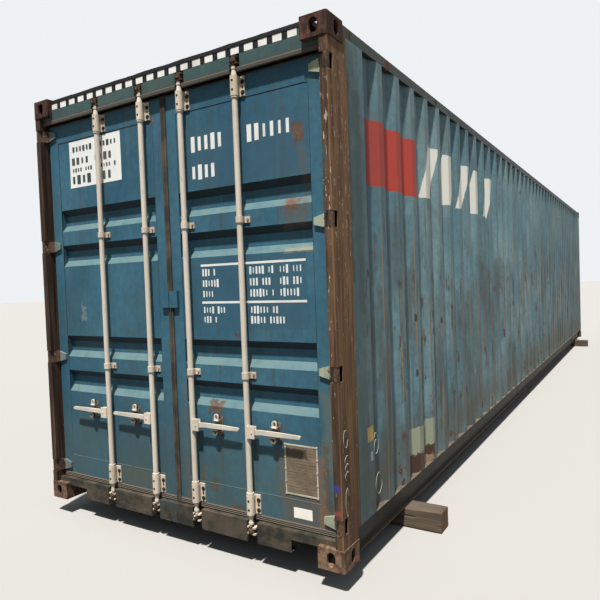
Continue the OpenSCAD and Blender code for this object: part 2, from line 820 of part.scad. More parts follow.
// A hinge blade about its pin, closed: the flange lies on the door face
module hinge_blade() {
    face = door_in - pin_in;
    difference() {
        intersection() {
            translate([0, 0, -blade_h / 2]) linear_extrude(blade_h) union() {
                circle(r = knuckle_r);
                polygon([[-knuckle_r * 0.64, knuckle_r * 0.75], [face - blade_t, 60], [face - blade_t, blade_l],
                         [face, blade_l], [face, 49], [knuckle_r * 0.9, 6], [0, -4]]);
            }
            rotate([90, 0, 90]) translate([0, 0, -60]) linear_extrude(180)
                polygon([[-knuckle_r, -blade_h / 2], [50, -blade_h / 2], [blade_l, -blade_tip_h / 2],
                         [blade_l, blade_tip_h / 2], [50, blade_h / 2], [-knuckle_r, blade_h / 2]]);
        }
        translate([0, 0, -blade_h]) cylinder(r = pin_r + pin_gap, h = 2 * blade_h);
    }
}

module hinge_blades(left) {
    color(cream) on_timbers() side(left) for (z = hinge_zs)
        translate([-half_l + pin_in, -half_w + pin_side, z]) hinge_blade();
}

// A rod bearing between two heights, with its flange on the -Y side
module bearing(z0, z1, face, r) {
    h = z1 - z0;
    translate([0, 0, z0]) difference() {
        union() {
            cylinder(r = r, h = h);
            translate([0, -r + 4, 0]) cube([face - rod_in, 2 * r - 8, h]);
            translate([face - rod_in - 8, -flange_out, 0]) cube([8, flange_out + 18, h]);
        }
        translate([0, 0, -cut]) cylinder(r = rod_r + rod_gap, h = h + 2 * cut);
    }
}

// A handle retainer: back plate, shelf with a ring below it and the lugs of the catch
module retainer() {
    face = door_in + panel_in;
    difference() {
        union() {
            translate([face - 6, -30, ring_z - 17]) cube([6, 60, barrel_z - ring_z + 42]);
            translate([22, -20, shelf_z]) cube([face - 22, 40, shelf_t]);
            translate([28, 0, ring_z]) rotate([0, 90, 0]) cylinder(r = ring_r, h = 6);
            translate([28, -20, ring_z]) cube([6, 40, shelf_z - ring_z + 2]);
            for (y = [-27, 20]) {
                translate([barrel_in, y, barrel_z]) rotate([-90, 0, 0]) cylinder(r = 8, h = 7);
                translate([barrel_in, y, barrel_z - 8]) cube([face - barrel_in, 7, 16]);
            }
            translate([barrel_in, -27, barrel_z]) rotate([-90, 0, 0]) cylinder(r = barrel_pin_r, h = 54);
        }
        translate([28 - cut, 0, ring_z]) rotate([0, 90, 0]) cylinder(r = 10, h = 6 + 2 * cut);
    }
}

module door_brackets(left) {
    out = left ? 1 : -1;
    color(cream) on_timbers() for (y = [rod_inner, rod_outer]) translate([-half_l + rod_in, out * y, 0]) {
        bearing(bearing_low[0], bearing_low[1], door_in, bearing_r);
        bearing(bearing_high[0], bearing_high[1], door_in, bearing_r);
        for (z = guide_zs) bearing(z - guide_h / 2, z + guide_h / 2, door_in + panel_in, bearing_r - 1);
    }
}

module handle_retainers(left) {
    out = left ? 1 : -1;
    color(cream) on_timbers() for (y = [rod_inner, rod_outer])
        translate([-half_l, out * (y + catch_y), 0]) retainer();
}

// A cam: a hook about the rod axis whose arm leads towards -Y
module cam() {
    linear_extrude(cam_t, center = true) union() {
        circle(r = neck_r + 3);
        difference() {
            intersection() {
                circle(r = hook_out);
                polygon([[0, 0], [70, 49], [70, -90], [40, -90]]);
            }
            circle(r = hook_in);
        }
        intersection() {
            circle(r = hook_out);
            polygon([[0, 0], [60, -60], [42, -94]]);
        }
        // Front lobe, clear of the keeper pin through the whole turn
        intersection() {
            circle(r = lobe_r);
            translate([-lobe_r, -lobe_r]) square(lobe_r + neck_r - 4);
        }
    }
}

// A lock rod with its cams and the hub of its handle, about its own axis
module lock_rod(i) {
    y = rod_ys[i];
    z0 = bearing_low[0] - 4;
    z1 = bearing_high[1] + 4;
    reach = pivot_y + 19;
    color(cream) on_timbers() translate([-half_l + rod_in, y, 0]) side(y > 0) union() {
        translate([0, 0, z0]) cylinder(r = rod_r, h = z1 - z0);
        translate([0, 0, z1]) cylinder(r1 = rod_r, r2 = neck_r, h = 30);
        translate([0, 0, z1]) cylinder(r = neck_r, h = cam_high + 26 - z1);
        translate([0, 0, z0 - 24]) cylinder(r1 = neck_r, r2 = rod_r, h = 24);
        translate([0, 0, cam_low - 26]) cylinder(r = neck_r, h = z0 - cam_low + 26);
        translate([0, 0, cam_low]) cam();
        translate([0, 0, cam_high]) cam();
        for (z = [cam_low + bead_off, cam_high - bead_off - bead_h])
            translate([0, 0, z]) cylinder(r = bead_r, h = bead_h);
        // Collars above the lower bearing and below the upper one
        translate([0, 0, bearing_low[1] + 1]) cylinder(r = bearing_r - 2, h = collar_h);
        translate([0, 0, bearing_high[0] - 10]) cylinder(r = bearing_r - 2, h = 9);
        // Hub plates and bolt of the handle
        for (x = [hub_front, hub_front + hub_plate + bar_d + 2 * hub_gap])
            translate([x - rod_in, -reach, pivot_z - hub_h / 2]) cube([hub_plate, reach - hub_in, hub_h]);
        translate([hub_front - rod_in, -rod_r - 2, pivot_z - hub_h / 2])
            cube([2 * hub_plate + bar_d + 2 * hub_gap, rod_r + 2 - hub_in, hub_h]);
        translate([hub_front - rod_in - 3, -pivot_y, pivot_z]) rotate([0, 90, 0])
            cylinder(r = pivot_r, h = 2 * hub_plate + bar_d + 2 * hub_gap + 6);
    }
}

module handle(i) {
    y = rod_ys[i];
    x = hub_front + hub_plate + hub_gap;
    tip_r = bar_h * 0.36;
    color(cream) on_timbers() translate([-half_l + x, y, pivot_z]) side(y > 0) difference() {
        union() {
            translate([0, -pivot_y, 0]) rotate([0, 90, 0]) cylinder(r = 18, h = bar_d);
            rotate([90, 0, 90]) linear_extrude(bar_d)
                polygon([[-pivot_y, -15], [-pivot_y - 60, bar_z - bar_h / 2], [-catch_y - 30, bar_z - bar_h / 2],
                         [-handle_l + tip_r, bar_z - tip_r], [-handle_l + tip_r, bar_z + tip_r],
                         [-catch_y - 30, bar_z + bar_h / 2], [-pivot_y - 60, bar_z + bar_h / 2], [-pivot_y, 15]]);
            translate([0, -handle_l + tip_r, bar_z]) rotate([0, 90, 0]) cylinder(r = tip_r, h = bar_d);
        }
        translate([-cut, -pivot_y, 0]) rotate([0, 90, 0]) cylinder(r = pivot_r + 0.1, h = bar_d + 2 * cut);
    }
}

// The flap that folds down over a handle, drawn upright
module catch(i) {
    y = rod_ys[i];
    out = y > 0 ? 1 : -1;
    color(cream) on_timbers() translate([-half_l + barrel_in, y + out * catch_y, barrel_z]) difference() {
        union() {
            translate([0, -flap_half, 0]) rotate([-90, 0, 0]) cylinder(r = barrel_r, h = 2 * flap_half);
            translate([-3, -flap_half, 0]) cube([6, 2 * flap_half, 24]);
            translate([-3, 0, 24]) rotate([0, 90, 0]) cylinder(r = flap_half, h = 6);
        }
        translate([-cut - 3, 0, 24]) rotate([0, 90, 0]) cylinder(r = eye_r, h = 6 + 2 * cut);
        translate([-cut - 3, 0, 17]) rotate([0, 90, 0]) cylinder(r = eye_r, h = 6 + 2 * cut);
        translate([-cut - 3, -eye_r, 17]) cube([6 + 2 * cut, 2 * eye_r, 7]);
        translate([0, -flap_half - cut, 0]) rotate([-90, 0, 0])
            cylinder(r = barrel_pin_r + 0.1, h = 2 * flap_half + 2 * cut);
    }
}

door_end_post(true);  // door_end_left_post
door_end_post(false);  // door_end_right_post
far_end_post(true);  // far_end_left_post
far_end_post(false);  // far_end_right_post
door_header();
door_sill();
far_end_header();
far_end_sill();
top_rail_tube(true);  // left_top_rail
top_rail_tube(false);  // right_top_rail
bottom_rail(true);  // left_bottom_rail
bottom_rail(false);  // right_bottom_rail
side_wall(true);  // left_side_wall
side_wall(false);  // right_side_wall
far_end_wall();
roof_panel();
plywood_floor();
cross_members();
gooseneck_tunnel();
top_corner_fittings();
bottom_corner_fittings();
rod_keepers();
timber_sleepers();
door_frame(true);  // left_door_frame
door_panel(true);  // left_door_panel
door_gasket(true);  // left_door_gasket
hinge_blades(true);  // left_hinge_blades
door_brackets(true);  // left_door_brackets
handle_retainers(true);  // left_handle_retainers
door_frame(false);  // right_door_frame
door_panel(false);  // right_door_panel
door_gasket(false);  // right_door_gasket
hinge_blades(false);  // right_hinge_blades
door_brackets(false);  // right_door_brackets
handle_retainers(false);  // right_handle_retainers
lock_rod(0);  // outer_left_lock_rod
lock_rod(1);  // inner_left_lock_rod
lock_rod(2);  // inner_right_lock_rod
lock_rod(3);  // outer_right_lock_rod
handle(0);  // outer_left_handle
handle(1);  // inner_left_handle
handle(2);  // inner_right_handle
handle(3);  // outer_right_handle
catch(0);  // outer_left_catch
catch(1);  // inner_left_catch
catch(2);  // inner_right_catch
catch(3);  // outer_right_catch
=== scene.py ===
"""Dress a forty foot shipping container and set it in a plain studio.

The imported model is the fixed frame. Every length is in metres and every place is in the model's own frame:
+X runs from the door end to the far end, +Y is to the left of someone who stands before the doors, +Z is up.
Depths are counted from the plane of the door end, and heights from the undersides of the corner fittings.
"""

import json
import logging
import math
import random
from dataclasses import dataclass
from enum import Enum
from typing import Iterable, Sequence, Union

import bmesh
import bpy
from mathutils import Matrix, Vector, noise

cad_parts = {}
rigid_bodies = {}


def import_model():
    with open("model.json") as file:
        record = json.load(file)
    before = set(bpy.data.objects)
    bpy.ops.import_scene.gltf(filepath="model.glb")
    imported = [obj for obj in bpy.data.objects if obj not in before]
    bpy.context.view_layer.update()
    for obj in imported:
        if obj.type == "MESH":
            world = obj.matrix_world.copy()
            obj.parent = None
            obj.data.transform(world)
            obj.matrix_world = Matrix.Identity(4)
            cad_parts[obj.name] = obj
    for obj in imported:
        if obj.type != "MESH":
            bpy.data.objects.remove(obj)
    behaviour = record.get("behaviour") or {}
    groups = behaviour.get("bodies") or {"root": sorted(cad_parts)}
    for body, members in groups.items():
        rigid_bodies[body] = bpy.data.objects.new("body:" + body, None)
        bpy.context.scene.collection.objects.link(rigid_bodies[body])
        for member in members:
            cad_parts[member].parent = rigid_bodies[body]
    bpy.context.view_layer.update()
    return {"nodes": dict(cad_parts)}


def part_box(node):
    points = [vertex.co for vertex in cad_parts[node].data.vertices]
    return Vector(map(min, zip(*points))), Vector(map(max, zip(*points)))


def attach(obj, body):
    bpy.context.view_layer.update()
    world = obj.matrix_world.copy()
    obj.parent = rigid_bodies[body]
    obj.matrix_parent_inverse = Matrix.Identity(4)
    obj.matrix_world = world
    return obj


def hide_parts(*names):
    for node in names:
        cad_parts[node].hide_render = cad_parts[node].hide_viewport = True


LOG = logging.getLogger("container")

Socket = bpy.types.NodeSocket
Colour = tuple[float, float, float]
Tone = Union[Colour, Socket]
Value = Union[float, Socket]
Point2 = tuple[float, float]
Point3 = tuple[float, float, float]

MM = 0.001
FORWARD = (-1.0, 0.0, 0.0)
UPWARD = (0.0, 0.0, 1.0)


def wave(x: float, y: float, z: float) -> float:
    """Noise between -1 and 1 at a place."""
    return noise.noise(Vector((x, y, z)))


def between(ends: Sequence[float], step: int, count: int) -> float:
    """Number at one of a count of equal steps from the first end to the second."""
    return ends[0] + (ends[1] - ends[0]) * step / count


class Slot(Enum):
    """Material slots of the record."""

    WALL = "wall_paint"
    FRAME = "frame_paint"
    UNDERFRAME = "underframe_paint"
    FITTING = "fitting_paint"
    SEAL = "door_seal"
    FLOOR = "floor_plywood"
    TIMBER = "sleeper_timber"


class Side(Enum):
    """The two sides of the container; the value is the sign of Y."""

    LEFT = 1
    RIGHT = -1

    @property
    def word(self) -> str:
        """Name of the side as the nodes and bodies use it."""
        return self.name.lower()

    @property
    def door(self) -> str:
        """Name of the door's body."""
        return f"{self.word}_door"


@dataclass(frozen=True)
class Site:
    """The places that the sub-assemblies are set out from, read from the frame."""

    door_x: float
    half_w: float
    base_z: float
    top_z: float

    @classmethod
    def read(cls) -> "Site":
        """Read the places from the corner fittings.

        Returns:
            The site.
        """
        low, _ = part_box("bottom_corner_fittings")
        _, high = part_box("top_corner_fittings")
        return cls(low.x, high.y, low.z, high.z)

    def at(self, depth: float, y: float, z: float) -> Vector:
        """Point at a depth behind the door end and a height above the corner fittings' undersides."""
        return Vector((self.door_x + depth, y, self.base_z + z))


class Tree:
    """A node tree and the ways to fill it."""

    def __init__(self, tree: bpy.types.NodeTree) -> None:
        """Keep the tree."""
        self.tree = tree

    def join(self, value: object, socket: Socket) -> None:
        """Link a socket, or set a constant; a colour is set opaque.

        Args:
            value: Socket, number, colour or place.
            socket: Input that takes it.
        """
        if isinstance(value, Socket):
            self.tree.links.new(value, socket)
        elif socket.type == "RGBA":
            socket.default_value = (*value, 1.0)
        else:
            socket.default_value = value

    def node(self, kind: str, **inputs: object) -> bpy.types.Node:
        """Add a node and feed its inputs, named with underscores for spaces.

        Args:
            kind: Type of the node.
            inputs: Values or sockets by the inputs' names.

        Returns:
            The node.
        """
        node = self.tree.nodes.new(kind)
        for name, value in inputs.items():
            label = name.replace("_", " ")
            self.join(value, next(socket for socket in node.inputs if socket.name == label))
        return node

    def math(self, operation: str, a: Value, b: Value = 0.0, clamp: bool = False) -> Socket:
        """Apply one operation to one or two numbers.

        Args:
            operation: Name of the operation, such as "ADD".
            a: First number.
            b: Second number, where the operation takes one.
            clamp: Whether the result is kept between 0 and 1.

        Returns:
            The result.
        """
        step = self.node("ShaderNodeMath")
        step.operation = operation
        step.use_clamp = clamp
        self.join(a, step.inputs[0])
        self.join(b, step.inputs[1])
        return step.outputs[0]

    def either(self, *masks: Value) -> Socket:
        """Greatest of several masks.

        Args:
            masks: The masks.

        Returns:
            The greatest one at each point.
        """
        result = masks[0]
        for mask in masks[1:]:
            result = self.math("MAXIMUM", result, mask)
        return result


class Graph(Tree):
    """A writer of shader node trees, on object coordinates."""

    def __init__(self, name: str) -> None:
        """Start a material with an empty tree.

        Args:
            name: Name of the material.
        """
        self.material = bpy.data.materials.new(name)
        self.material.use_nodes = True
        super().__init__(self.material.node_tree)
        self.tree.nodes.clear()
        self.shader = self.node("ShaderNodeBsdfPrincipled")
        self.node("ShaderNodeOutputMaterial", Surface=self.shader.outputs["BSDF"])
        coords = self.node("ShaderNodeTexCoord")
        self.place = coords.outputs["Object"]
        self.x, self.y, self.z = self.split(self.place)
        _, self.ny, self.nz = self.split(coords.outputs["Normal"])

    def split(self, vector: Socket) -> tuple[Socket, ...]:
        """Split a vector into its three parts."""
        return tuple(self.node("ShaderNodeSeparateXYZ", Vector=vector).outputs)

    def times(self, a: Value, b: Value) -> Socket:
        """Product of two numbers."""
        return self.math("MULTIPLY", a, b)

    def plus(self, a: Value, b: Value) -> Socket:
        """Sum of two numbers."""
        return self.math("ADD", a, b)

    def gain(self, base: Value, mask: Value, share: Value) -> Socket:
        """Base raised by a share of a mask."""
        return self.plus(base, self.times(mask, share))

    def minus(self, a: Value, b: Value) -> Socket:
        """First number less the second."""
        return self.math("SUBTRACT", a, b)

    def ramp(self, value: Value, low: float, high: float) -> Socket:
        """Smooth step from 0 at low to 1 at high; low may be the greater one.

        Args:
            value: Number to step on.
            low: Value that gives 0.
            high: Value that gives 1.

        Returns:
            The step.
        """
        step = self.node("ShaderNodeMapRange", Value=value, From_Min=low, From_Max=high)
        step.interpolation_type = "SMOOTHSTEP"
        return step.outputs[0]

    def all_of(self, *masks: Value) -> Socket:
        """Product of several masks.

        Args:
            masks: The masks.

        Returns:
            Their product.
        """
        result = masks[0]
        for mask in masks[1:]:
            result = self.times(result, mask)
        return result

    def blend(self, factor: Value, a: Tone, b: Tone) -> Socket:
        """Mix two colours.

        Args:
            factor: 0 for the first colour, 1 for the second.
            a: First colour.
            b: Second colour.

        Returns:
            The mixed colour.
        """
        mix = self.node("ShaderNodeMix")
        mix.data_type = "RGBA"
        self.join(factor, mix.inputs[0])
        self.join(a, mix.inputs[6])
        self.join(b, mix.inputs[7])
        return mix.outputs[2]

    def wash(self, mask: Value, share: Value, colour: Tone, tone: Tone) -> Socket:
        """Lay a tone over a colour under a mask, at a share of its full strength."""
        return self.blend(self.times(mask, share), colour, tone)

    def lay(self, colour: Tone, patches: Iterable["Patch"]) -> Tone:
        """Lay plain patches over a colour.

        Args:
            colour: Colour below the patches.
            patches: The patches, lowest first.

        Returns:
            The colour.
        """
        for patch in patches:
            colour = self.wash(self.patch(patch), patch.strength, colour, patch.colour)
        return colour

    def noise(self, scale: float, detail: float = 3.0, stretch: Point3 = (1.0, 1.0, 1.0),
              shift: float = 0.0, roughness: float = 0.55) -> Socket:
        """Noise between 0 and 1 on the object's own coordinates.

        Args:
            scale: Blobs per metre.
            detail: Octaves.
            stretch: Factor on the scale along each axis; a low one draws the blobs out.
            shift: Distance to another region of the noise.
            roughness: Strength of the fine octaves.

        Returns:
            The noise.
        """
        start = (shift, shift * 0.7, shift * 1.3)
        spread = self.node("ShaderNodeMapping", Vector=self.place, Location=start, Scale=stretch)
        cloud = self.node("ShaderNodeTexNoise", Vector=spread.outputs[0], Scale=scale, Detail=detail,
                          Roughness=roughness)
        return cloud.outputs[0]

    def cloud(self, low: float, high: float, *shape: object, **more: float) -> Socket:
        """Noise turned into a mask that goes from 0 at low to 1 at high."""
        return self.ramp(self.noise(*shape, **more), low, high)

    def spots(self, scale: float, stretch: Point3, radius: float, share: float) -> Socket:
        """Scattered round or drawn out spots.

        Args:
            scale: Cells per metre.
            stretch: Factor on the scale along each axis.
            radius: Radius of a spot, in cells.
            share: Share of the cells that hold a spot.

        Returns:
            Mask of the spots.
        """
        spread = self.node("ShaderNodeMapping", Vector=self.place, Scale=stretch)
        cells = self.node("ShaderNodeTexVoronoi", Vector=spread.outputs[0], Scale=scale)
        red, _, _ = self.split(cells.outputs["Color"])
        near = self.ramp(cells.outputs["Distance"], radius, radius * 0.6)
        return self.all_of(near, self.math("LESS_THAN", red, share))

    def patch(self, patch: "Patch") -> Socket:
        """Mask of a rectangular patch with ragged edges.

        Args:
            patch: Place, size and edge of the patch.

        Returns:
            The mask, 1 inside.
        """
        parts = []
        for value, centre, half in zip((self.x, self.y, self.z), patch.centre, patch.half):
            if half <= 0.0:
                continue
            away = self.minus(value, centre)
            if patch.slant and value is not self.z:
                rise = self.minus(self.z, patch.centre[2])
                away = self.minus(away, self.times(rise, patch.slant))
            parts.append(self.minus(self.math("ABSOLUTE", away), half))
        outside = self.either(*parts)
        if patch.rag > 0.0:
            wander = self.noise(patch.grain, 4.0, shift=patch.centre[2] * 3.0)
            lean = self.times(self.minus(wander, 0.5), 4.0 * patch.rag)
            outside = self.plus(outside, lean)
        return self.ramp(outside, patch.feather, -patch.feather)

    def relief(self, height: Value, distance: float, strength: float) -> None:
        """Drive the shader's normal from a height.

        Args:
            height: Height between 0 and 1.
            distance: Height of 1, in metres.
            strength: Strength of the relief.
        """
        bump = self.node("ShaderNodeBump", Strength=strength, Distance=distance, Height=height)
        self.join(bump.outputs[0], self.shader.inputs["Normal"])

    def surface(self, colour: Tone, roughness: Value, specular: float, metallic: float = 0.0) -> None:
        """Set the shader's colour, roughness, specular level and metal.

        Args:
            colour: Base colour.
            roughness: Roughness.
            specular: Specular level.
            metallic: 1 for bare metal, 0 for paint.
        """
        for name, value in (("Base Color", colour), ("Roughness", roughness), ("Metallic", metallic),
                            ("Specular IOR Level", specular)):
            self.join(value, self.shader.inputs[name])


@dataclass(frozen=True)
class Patch:
    """A patch of another colour on a painted surface.

    A half size of 0 leaves that axis free.
    """

    centre: Point3
    half: Point3
    colour: Colour
    strength: float = 1.0
    feather: float = 0.002
    rag: float = 0.0
    grain: float = 14.0
    rusty: bool = False
    slant: float = 0.0


@dataclass(frozen=True)
class Rust:
    """Colours of rust on steel."""

    deep: Colour = (0.030, 0.015, 0.010)
    warm: Colour = (0.145, 0.066, 0.034)
    pale: Colour = (0.300, 0.170, 0.085)

    def colour(self, graph: Graph) -> Socket:
        """Mottled rust.

        Args:
            graph: Tree that the nodes go into.

        Returns:
            The colour.
        """
        broad = graph.cloud(0.34, 0.66, 9.0, 5.0, shift=3.1)
        fine = graph.cloud(0.52, 0.80, 70.0, 4.0, shift=1.7)
        return graph.blend(fine, graph.blend(broad, self.deep, self.warm), self.pale)


@dataclass(frozen=True)
class Finish:
    """A surface finish that writes its own material."""

    name: str

    def write(self, graph: Graph) -> None:
        """Fill the material's tree; each kind of finish has its own."""
        raise NotImplementedError

    def build(self) -> bpy.types.Material:
        """Write and return the material.

        Returns:
            The material.
        """
        graph = Graph(self.name)
        self.write(graph)
        return graph.material


@dataclass(frozen=True)
class AgedPaint(Finish):
    """Weathered paint on steel.

    Faded in clouds, chalky and paler where a face looks up, which is partly a painted highlight, darkened as
    painted shade where it looks down, streaked by rain and rusted in places.
    """

    base: Colour
    faded: Colour
    chalk: Colour
    # Darkest tone: grime in the mottle, and painted shade on faces that look down.
    grime: Colour
    dirt: Colour = (0.060, 0.048, 0.034)
    rust: Rust = Rust()
    rust_share: float = 0.10
    rust_grain: float = 7.0
    streaks: float = 0.5
    dark_streaks: float = 0.4
    roughness: float = 0.52
    shade_start: float = -0.35
    stain: Colour = (0.050, 0.066, 0.054)
    stains: float = 0.40
    patches: tuple[Patch, ...] = ()
    low_rust: float = 0.0
    low_height: float = 0.6

    def paint(self, graph: Graph) -> Socket:
        """Colour of the paint before rust and patches.

        Args:
            graph: Tree that the nodes go into.

        Returns:
            The colour.
        """
        clouds = graph.cloud(0.36, 0.66, 1.1, 5.0, shift=0.4)
        colour = graph.blend(clouds, self.base, self.faded)
        mottle = graph.cloud(0.30, 0.75, 26.0, 5.0, shift=6.0)
        colour = graph.wash(mottle, 0.22, colour, self.grime)
        stain = graph.cloud(0.46, 0.68, 1.0, 7.0, (4.0, 4.0, 1.7), 17.0, 0.64)
        colour = graph.wash(stain, self.stains, colour, self.stain)
        run = graph.cloud(0.52, 0.78, 1.0, 6.0, (24.0, 24.0, 0.8), 2.2)
        colour = graph.wash(run, self.streaks, colour, self.chalk)
        dark = graph.cloud(0.54, 0.76, 1.0, 6.0, (30.0, 30.0, 1.1), 9.2)
        return graph.wash(dark, self.dark_streaks, colour, self.dirt)

    def weather(self, graph: Graph, colour: Socket) -> Socket:
        """Paler chalky faces that look up, partly a painted highlight, and painted shade on faces that look
        down.

        Args:
            graph: Tree that the nodes go into.
            colour: Colour so far.

        Returns:
            The colour.
        """
        # Faces that look up turn chalky and paler: partly real chalking and dust, partly a painted
        # highlight.
        wear = graph.cloud(0.20, 0.60, 11.0, 4.0, (1.0, 1.0, 1.0), 4.4)
        up = graph.all_of(graph.ramp(graph.nz, 0.25, 0.60), graph.gain(0.45, wear, 0.55))
        colour = graph.blend(up, colour, self.chalk)
        # Faces that look down are darkened almost to the darkest tone: painted shade.
        down = graph.ramp(graph.nz, self.shade_start, self.shade_start - 0.25)
        return graph.wash(down, 0.93, colour, self.grime)

    def rust_mask(self, graph: Graph) -> Socket:
        """Mask of the rusted places.

        Args:
            graph: Tree that the nodes go into.

        Returns:
            The mask.
        """
        edge = 0.74 - 0.30 * self.rust_share
        blisters = graph.noise(self.rust_grain, 8.0, (1.0, 1.0, 0.6), 5.5, 0.62)
        if self.low_rust > 0.0:
            low = graph.ramp(graph.z, self.low_height, 0.1)
            blisters = graph.gain(blisters, low, self.low_rust)
        return graph.ramp(blisters, edge, edge + 0.035)

    def extra(self, graph: Graph, colour: Socket) -> Socket:
        """Whatever a kind of paint adds before the patches; nothing here."""
        return colour

    def write(self, graph: Graph) -> None:
        """Write the material.

        Args:
            graph: Tree that the nodes go into.
        """
        colour = self.extra(graph, self.weather(graph, self.paint(graph)))
        for patch in self.patches:
            mask = graph.times(graph.patch(patch), patch.strength)
            tone: Tone = patch.colour
            if patch.rusty:
                tone = graph.blend(0.5, patch.colour, self.rust.colour(graph))
                speckle = graph.cloud(0.28, 0.44, 44.0, 7.0, shift=patch.centre[2] * 5.0)
                mask = graph.times(mask, speckle)
            colour = graph.blend(mask, colour, tone)
        rusted = self.rust_mask(graph)
        colour = graph.blend(rusted, colour, self.rust.colour(graph))
        rough = graph.gain(self.roughness, graph.noise(14.0, 3.0), 0.16)
        rough = graph.math("ADD", rough, graph.times(rusted, 0.3), True)
        graph.surface(colour, rough, 0.18)
        grain = graph.times(graph.noise(55.0, 5.0, shift=8.0), 0.5)
        height = graph.gain(grain, rusted, 0.7)
        graph.relief(height, 0.0016, 0.6)


@dataclass(frozen=True)
class WallPaint(AgedPaint):
    """Paint of a corrugated side wall, worn and rusted along the edges of its crests."""

    first_edge: float = 0.0
    pitch: float = 0.278
    crest: float = 0.072
    tan: Colour = (0.26, 0.19, 0.12)

    def edge_distance(self, graph: Graph) -> Socket:
        """Distance along the wall to the nearest edge of a crest.

        Args:
            graph: Tree that the nodes go into.

        Returns:
            The distance, in metres.
        """
        phase = graph.math("FLOORED_MODULO", graph.minus(graph.x, self.first_edge), self.pitch)
        to_start = graph.math("MINIMUM", phase, graph.minus(self.pitch, phase))
        to_crest = graph.math("ABSOLUTE", graph.minus(phase, self.pitch - self.crest))
        return graph.math("MINIMUM", to_start, to_crest)

    def extra(self, graph: Graph, colour: Socket) -> Socket:
        """Worn edges, tan runs below them, small rusted knocks, and a darkening towards the far end that is
        painted shade as well as dirt.

        Args:
            graph: Tree that the nodes go into.
            colour: Colour so far.

        Returns:
            The colour.
        """
        lower = graph.gain(0.18, graph.ramp(graph.z, 2.5, 1.3), 0.82)
        clouds = graph.cloud(0.46, 0.62, 1.0, 7.0, (5.0, 5.0, 1.3), 31.0, 0.64)
        colour = graph.wash(graph.all_of(clouds, lower), 0.62, colour, (0.070, 0.058, 0.042))
        sores = graph.cloud(0.585, 0.64, 1.0, 8.0, (15.0, 15.0, 3.4), 41.0, 0.68)
        colour = graph.wash(graph.all_of(sores, lower), 0.85, colour, self.rust.colour(graph))
        # Darker towards the far end: painted shade, with some dirt.
        away = graph.times(graph.ramp(graph.x, -2.5, 4.5), 0.48)
        colour = graph.blend(away, colour, (0.050, 0.072, 0.078))
        edge = self.edge_distance(graph)
        line = graph.ramp(edge, 0.010, 0.003)
        worn = graph.cloud(0.44, 0.58, 1.0, 5.0, (16.0, 16.0, 1.6), 12.0)
        low = graph.gain(0.25, graph.ramp(graph.z, 2.3, 1.5), 0.75)
        colour = graph.blend(graph.all_of(line, worn, low), colour, self.tan)
        band = graph.ramp(edge, 0.026, 0.008)
        dark = graph.cloud(0.55, 0.68, 1.0, 6.0, (20.0, 20.0, 1.9), 21.0)
        below = graph.ramp(graph.z, 2.1, 1.3)
        colour = graph.wash(graph.all_of(band, dark, below), 0.8, colour, (0.085, 0.052, 0.036))
        knocks = graph.spots(1.0, (14.0, 1.0, 9.0), 0.30, 0.22)
        belt = graph.all_of(graph.ramp(graph.z, 1.75, 1.50), graph.ramp(graph.z, 0.45, 0.9))
        return graph.blend(graph.all_of(knocks, belt, band), colour, (0.055, 0.026, 0.018))


@dataclass(frozen=True)
class RustedSteel(Finish):
    """Steel that has lost most of its paint, with flakes and runs along its length, and where asked a side
    face brightened with warm rust as a painted highlight.
    """

    dark: Colour
    warm: Colour
    pale: Colour
    old_paint: Colour
    paint_share: float = 0.12
    flake_share: float = 0.2
    along: Point3 = (18.0, 18.0, 1.6)
    flake: Point3 = (46.0, 46.0, 12.0)
    patches: tuple[Patch, ...] = ()
    whole_below: float = -9.0
    # Share and colour of a bright warm wash on one side face: a painted highlight over rust runs.
    side_gain: float = 0.0
    side_y: float = -1.200
    side_warm: Colour = (0.340, 0.200, 0.108)

    def write(self, graph: Graph) -> None:
        """Write the material.

        Args:
            graph: Tree that the nodes go into.
        """
        runs = graph.cloud(0.40, 0.62, 1.0, 7.0, self.along, 1.0, 0.62)
        colour = graph.blend(runs, self.dark, self.warm)
        broad = graph.cloud(0.40, 0.70, 3.2, 5.0, shift=7.0)
        colour = graph.wash(broad, 0.5, colour, self.dark)
        # The side face is washed towards a bright warm rust: a painted highlight on the rust runs.
        if self.side_gain > 0.0:
            side = graph.ramp(graph.y, self.side_y, self.side_y - 0.012)
            rusty = graph.gain(0.45, runs, 0.75)
            colour = graph.wash(graph.all_of(side, rusty), self.side_gain, colour, self.side_warm)
        flakes = graph.noise(1.0, 8.0, self.flake, 4.0, 0.65)
        whole = graph.ramp(graph.z, self.whole_below + 0.9, self.whole_below)
        flakes = graph.minus(flakes, graph.times(whole, 0.045))
        edge = 0.72 - 0.22 * self.flake_share
        chipped = graph.ramp(flakes, edge, edge + 0.07)
        colour = graph.blend(chipped, colour, self.pale)
        paint = graph.noise(5.0, 7.0, (1.0, 1.0, 0.5), 15.0, 0.6)
        edge = 0.70 - 0.3 * self.paint_share
        keep = graph.ramp(paint, edge, edge + 0.04)
        colour = graph.wash(keep, 0.85, colour, self.old_paint)
        pits = graph.cloud(0.55, 0.75, 120.0, 3.0, shift=2.0)
        colour = graph.wash(pits, 0.35, colour, self.dark)
        colour = graph.lay(colour, self.patches)
        graph.surface(colour, graph.gain(0.72, runs, 0.2), 0.12)
        height = graph.gain(graph.times(chipped, 0.6), flakes, 0.7)
        graph.relief(graph.minus(height, graph.times(pits, 0.3)), 0.0022, 0.8)


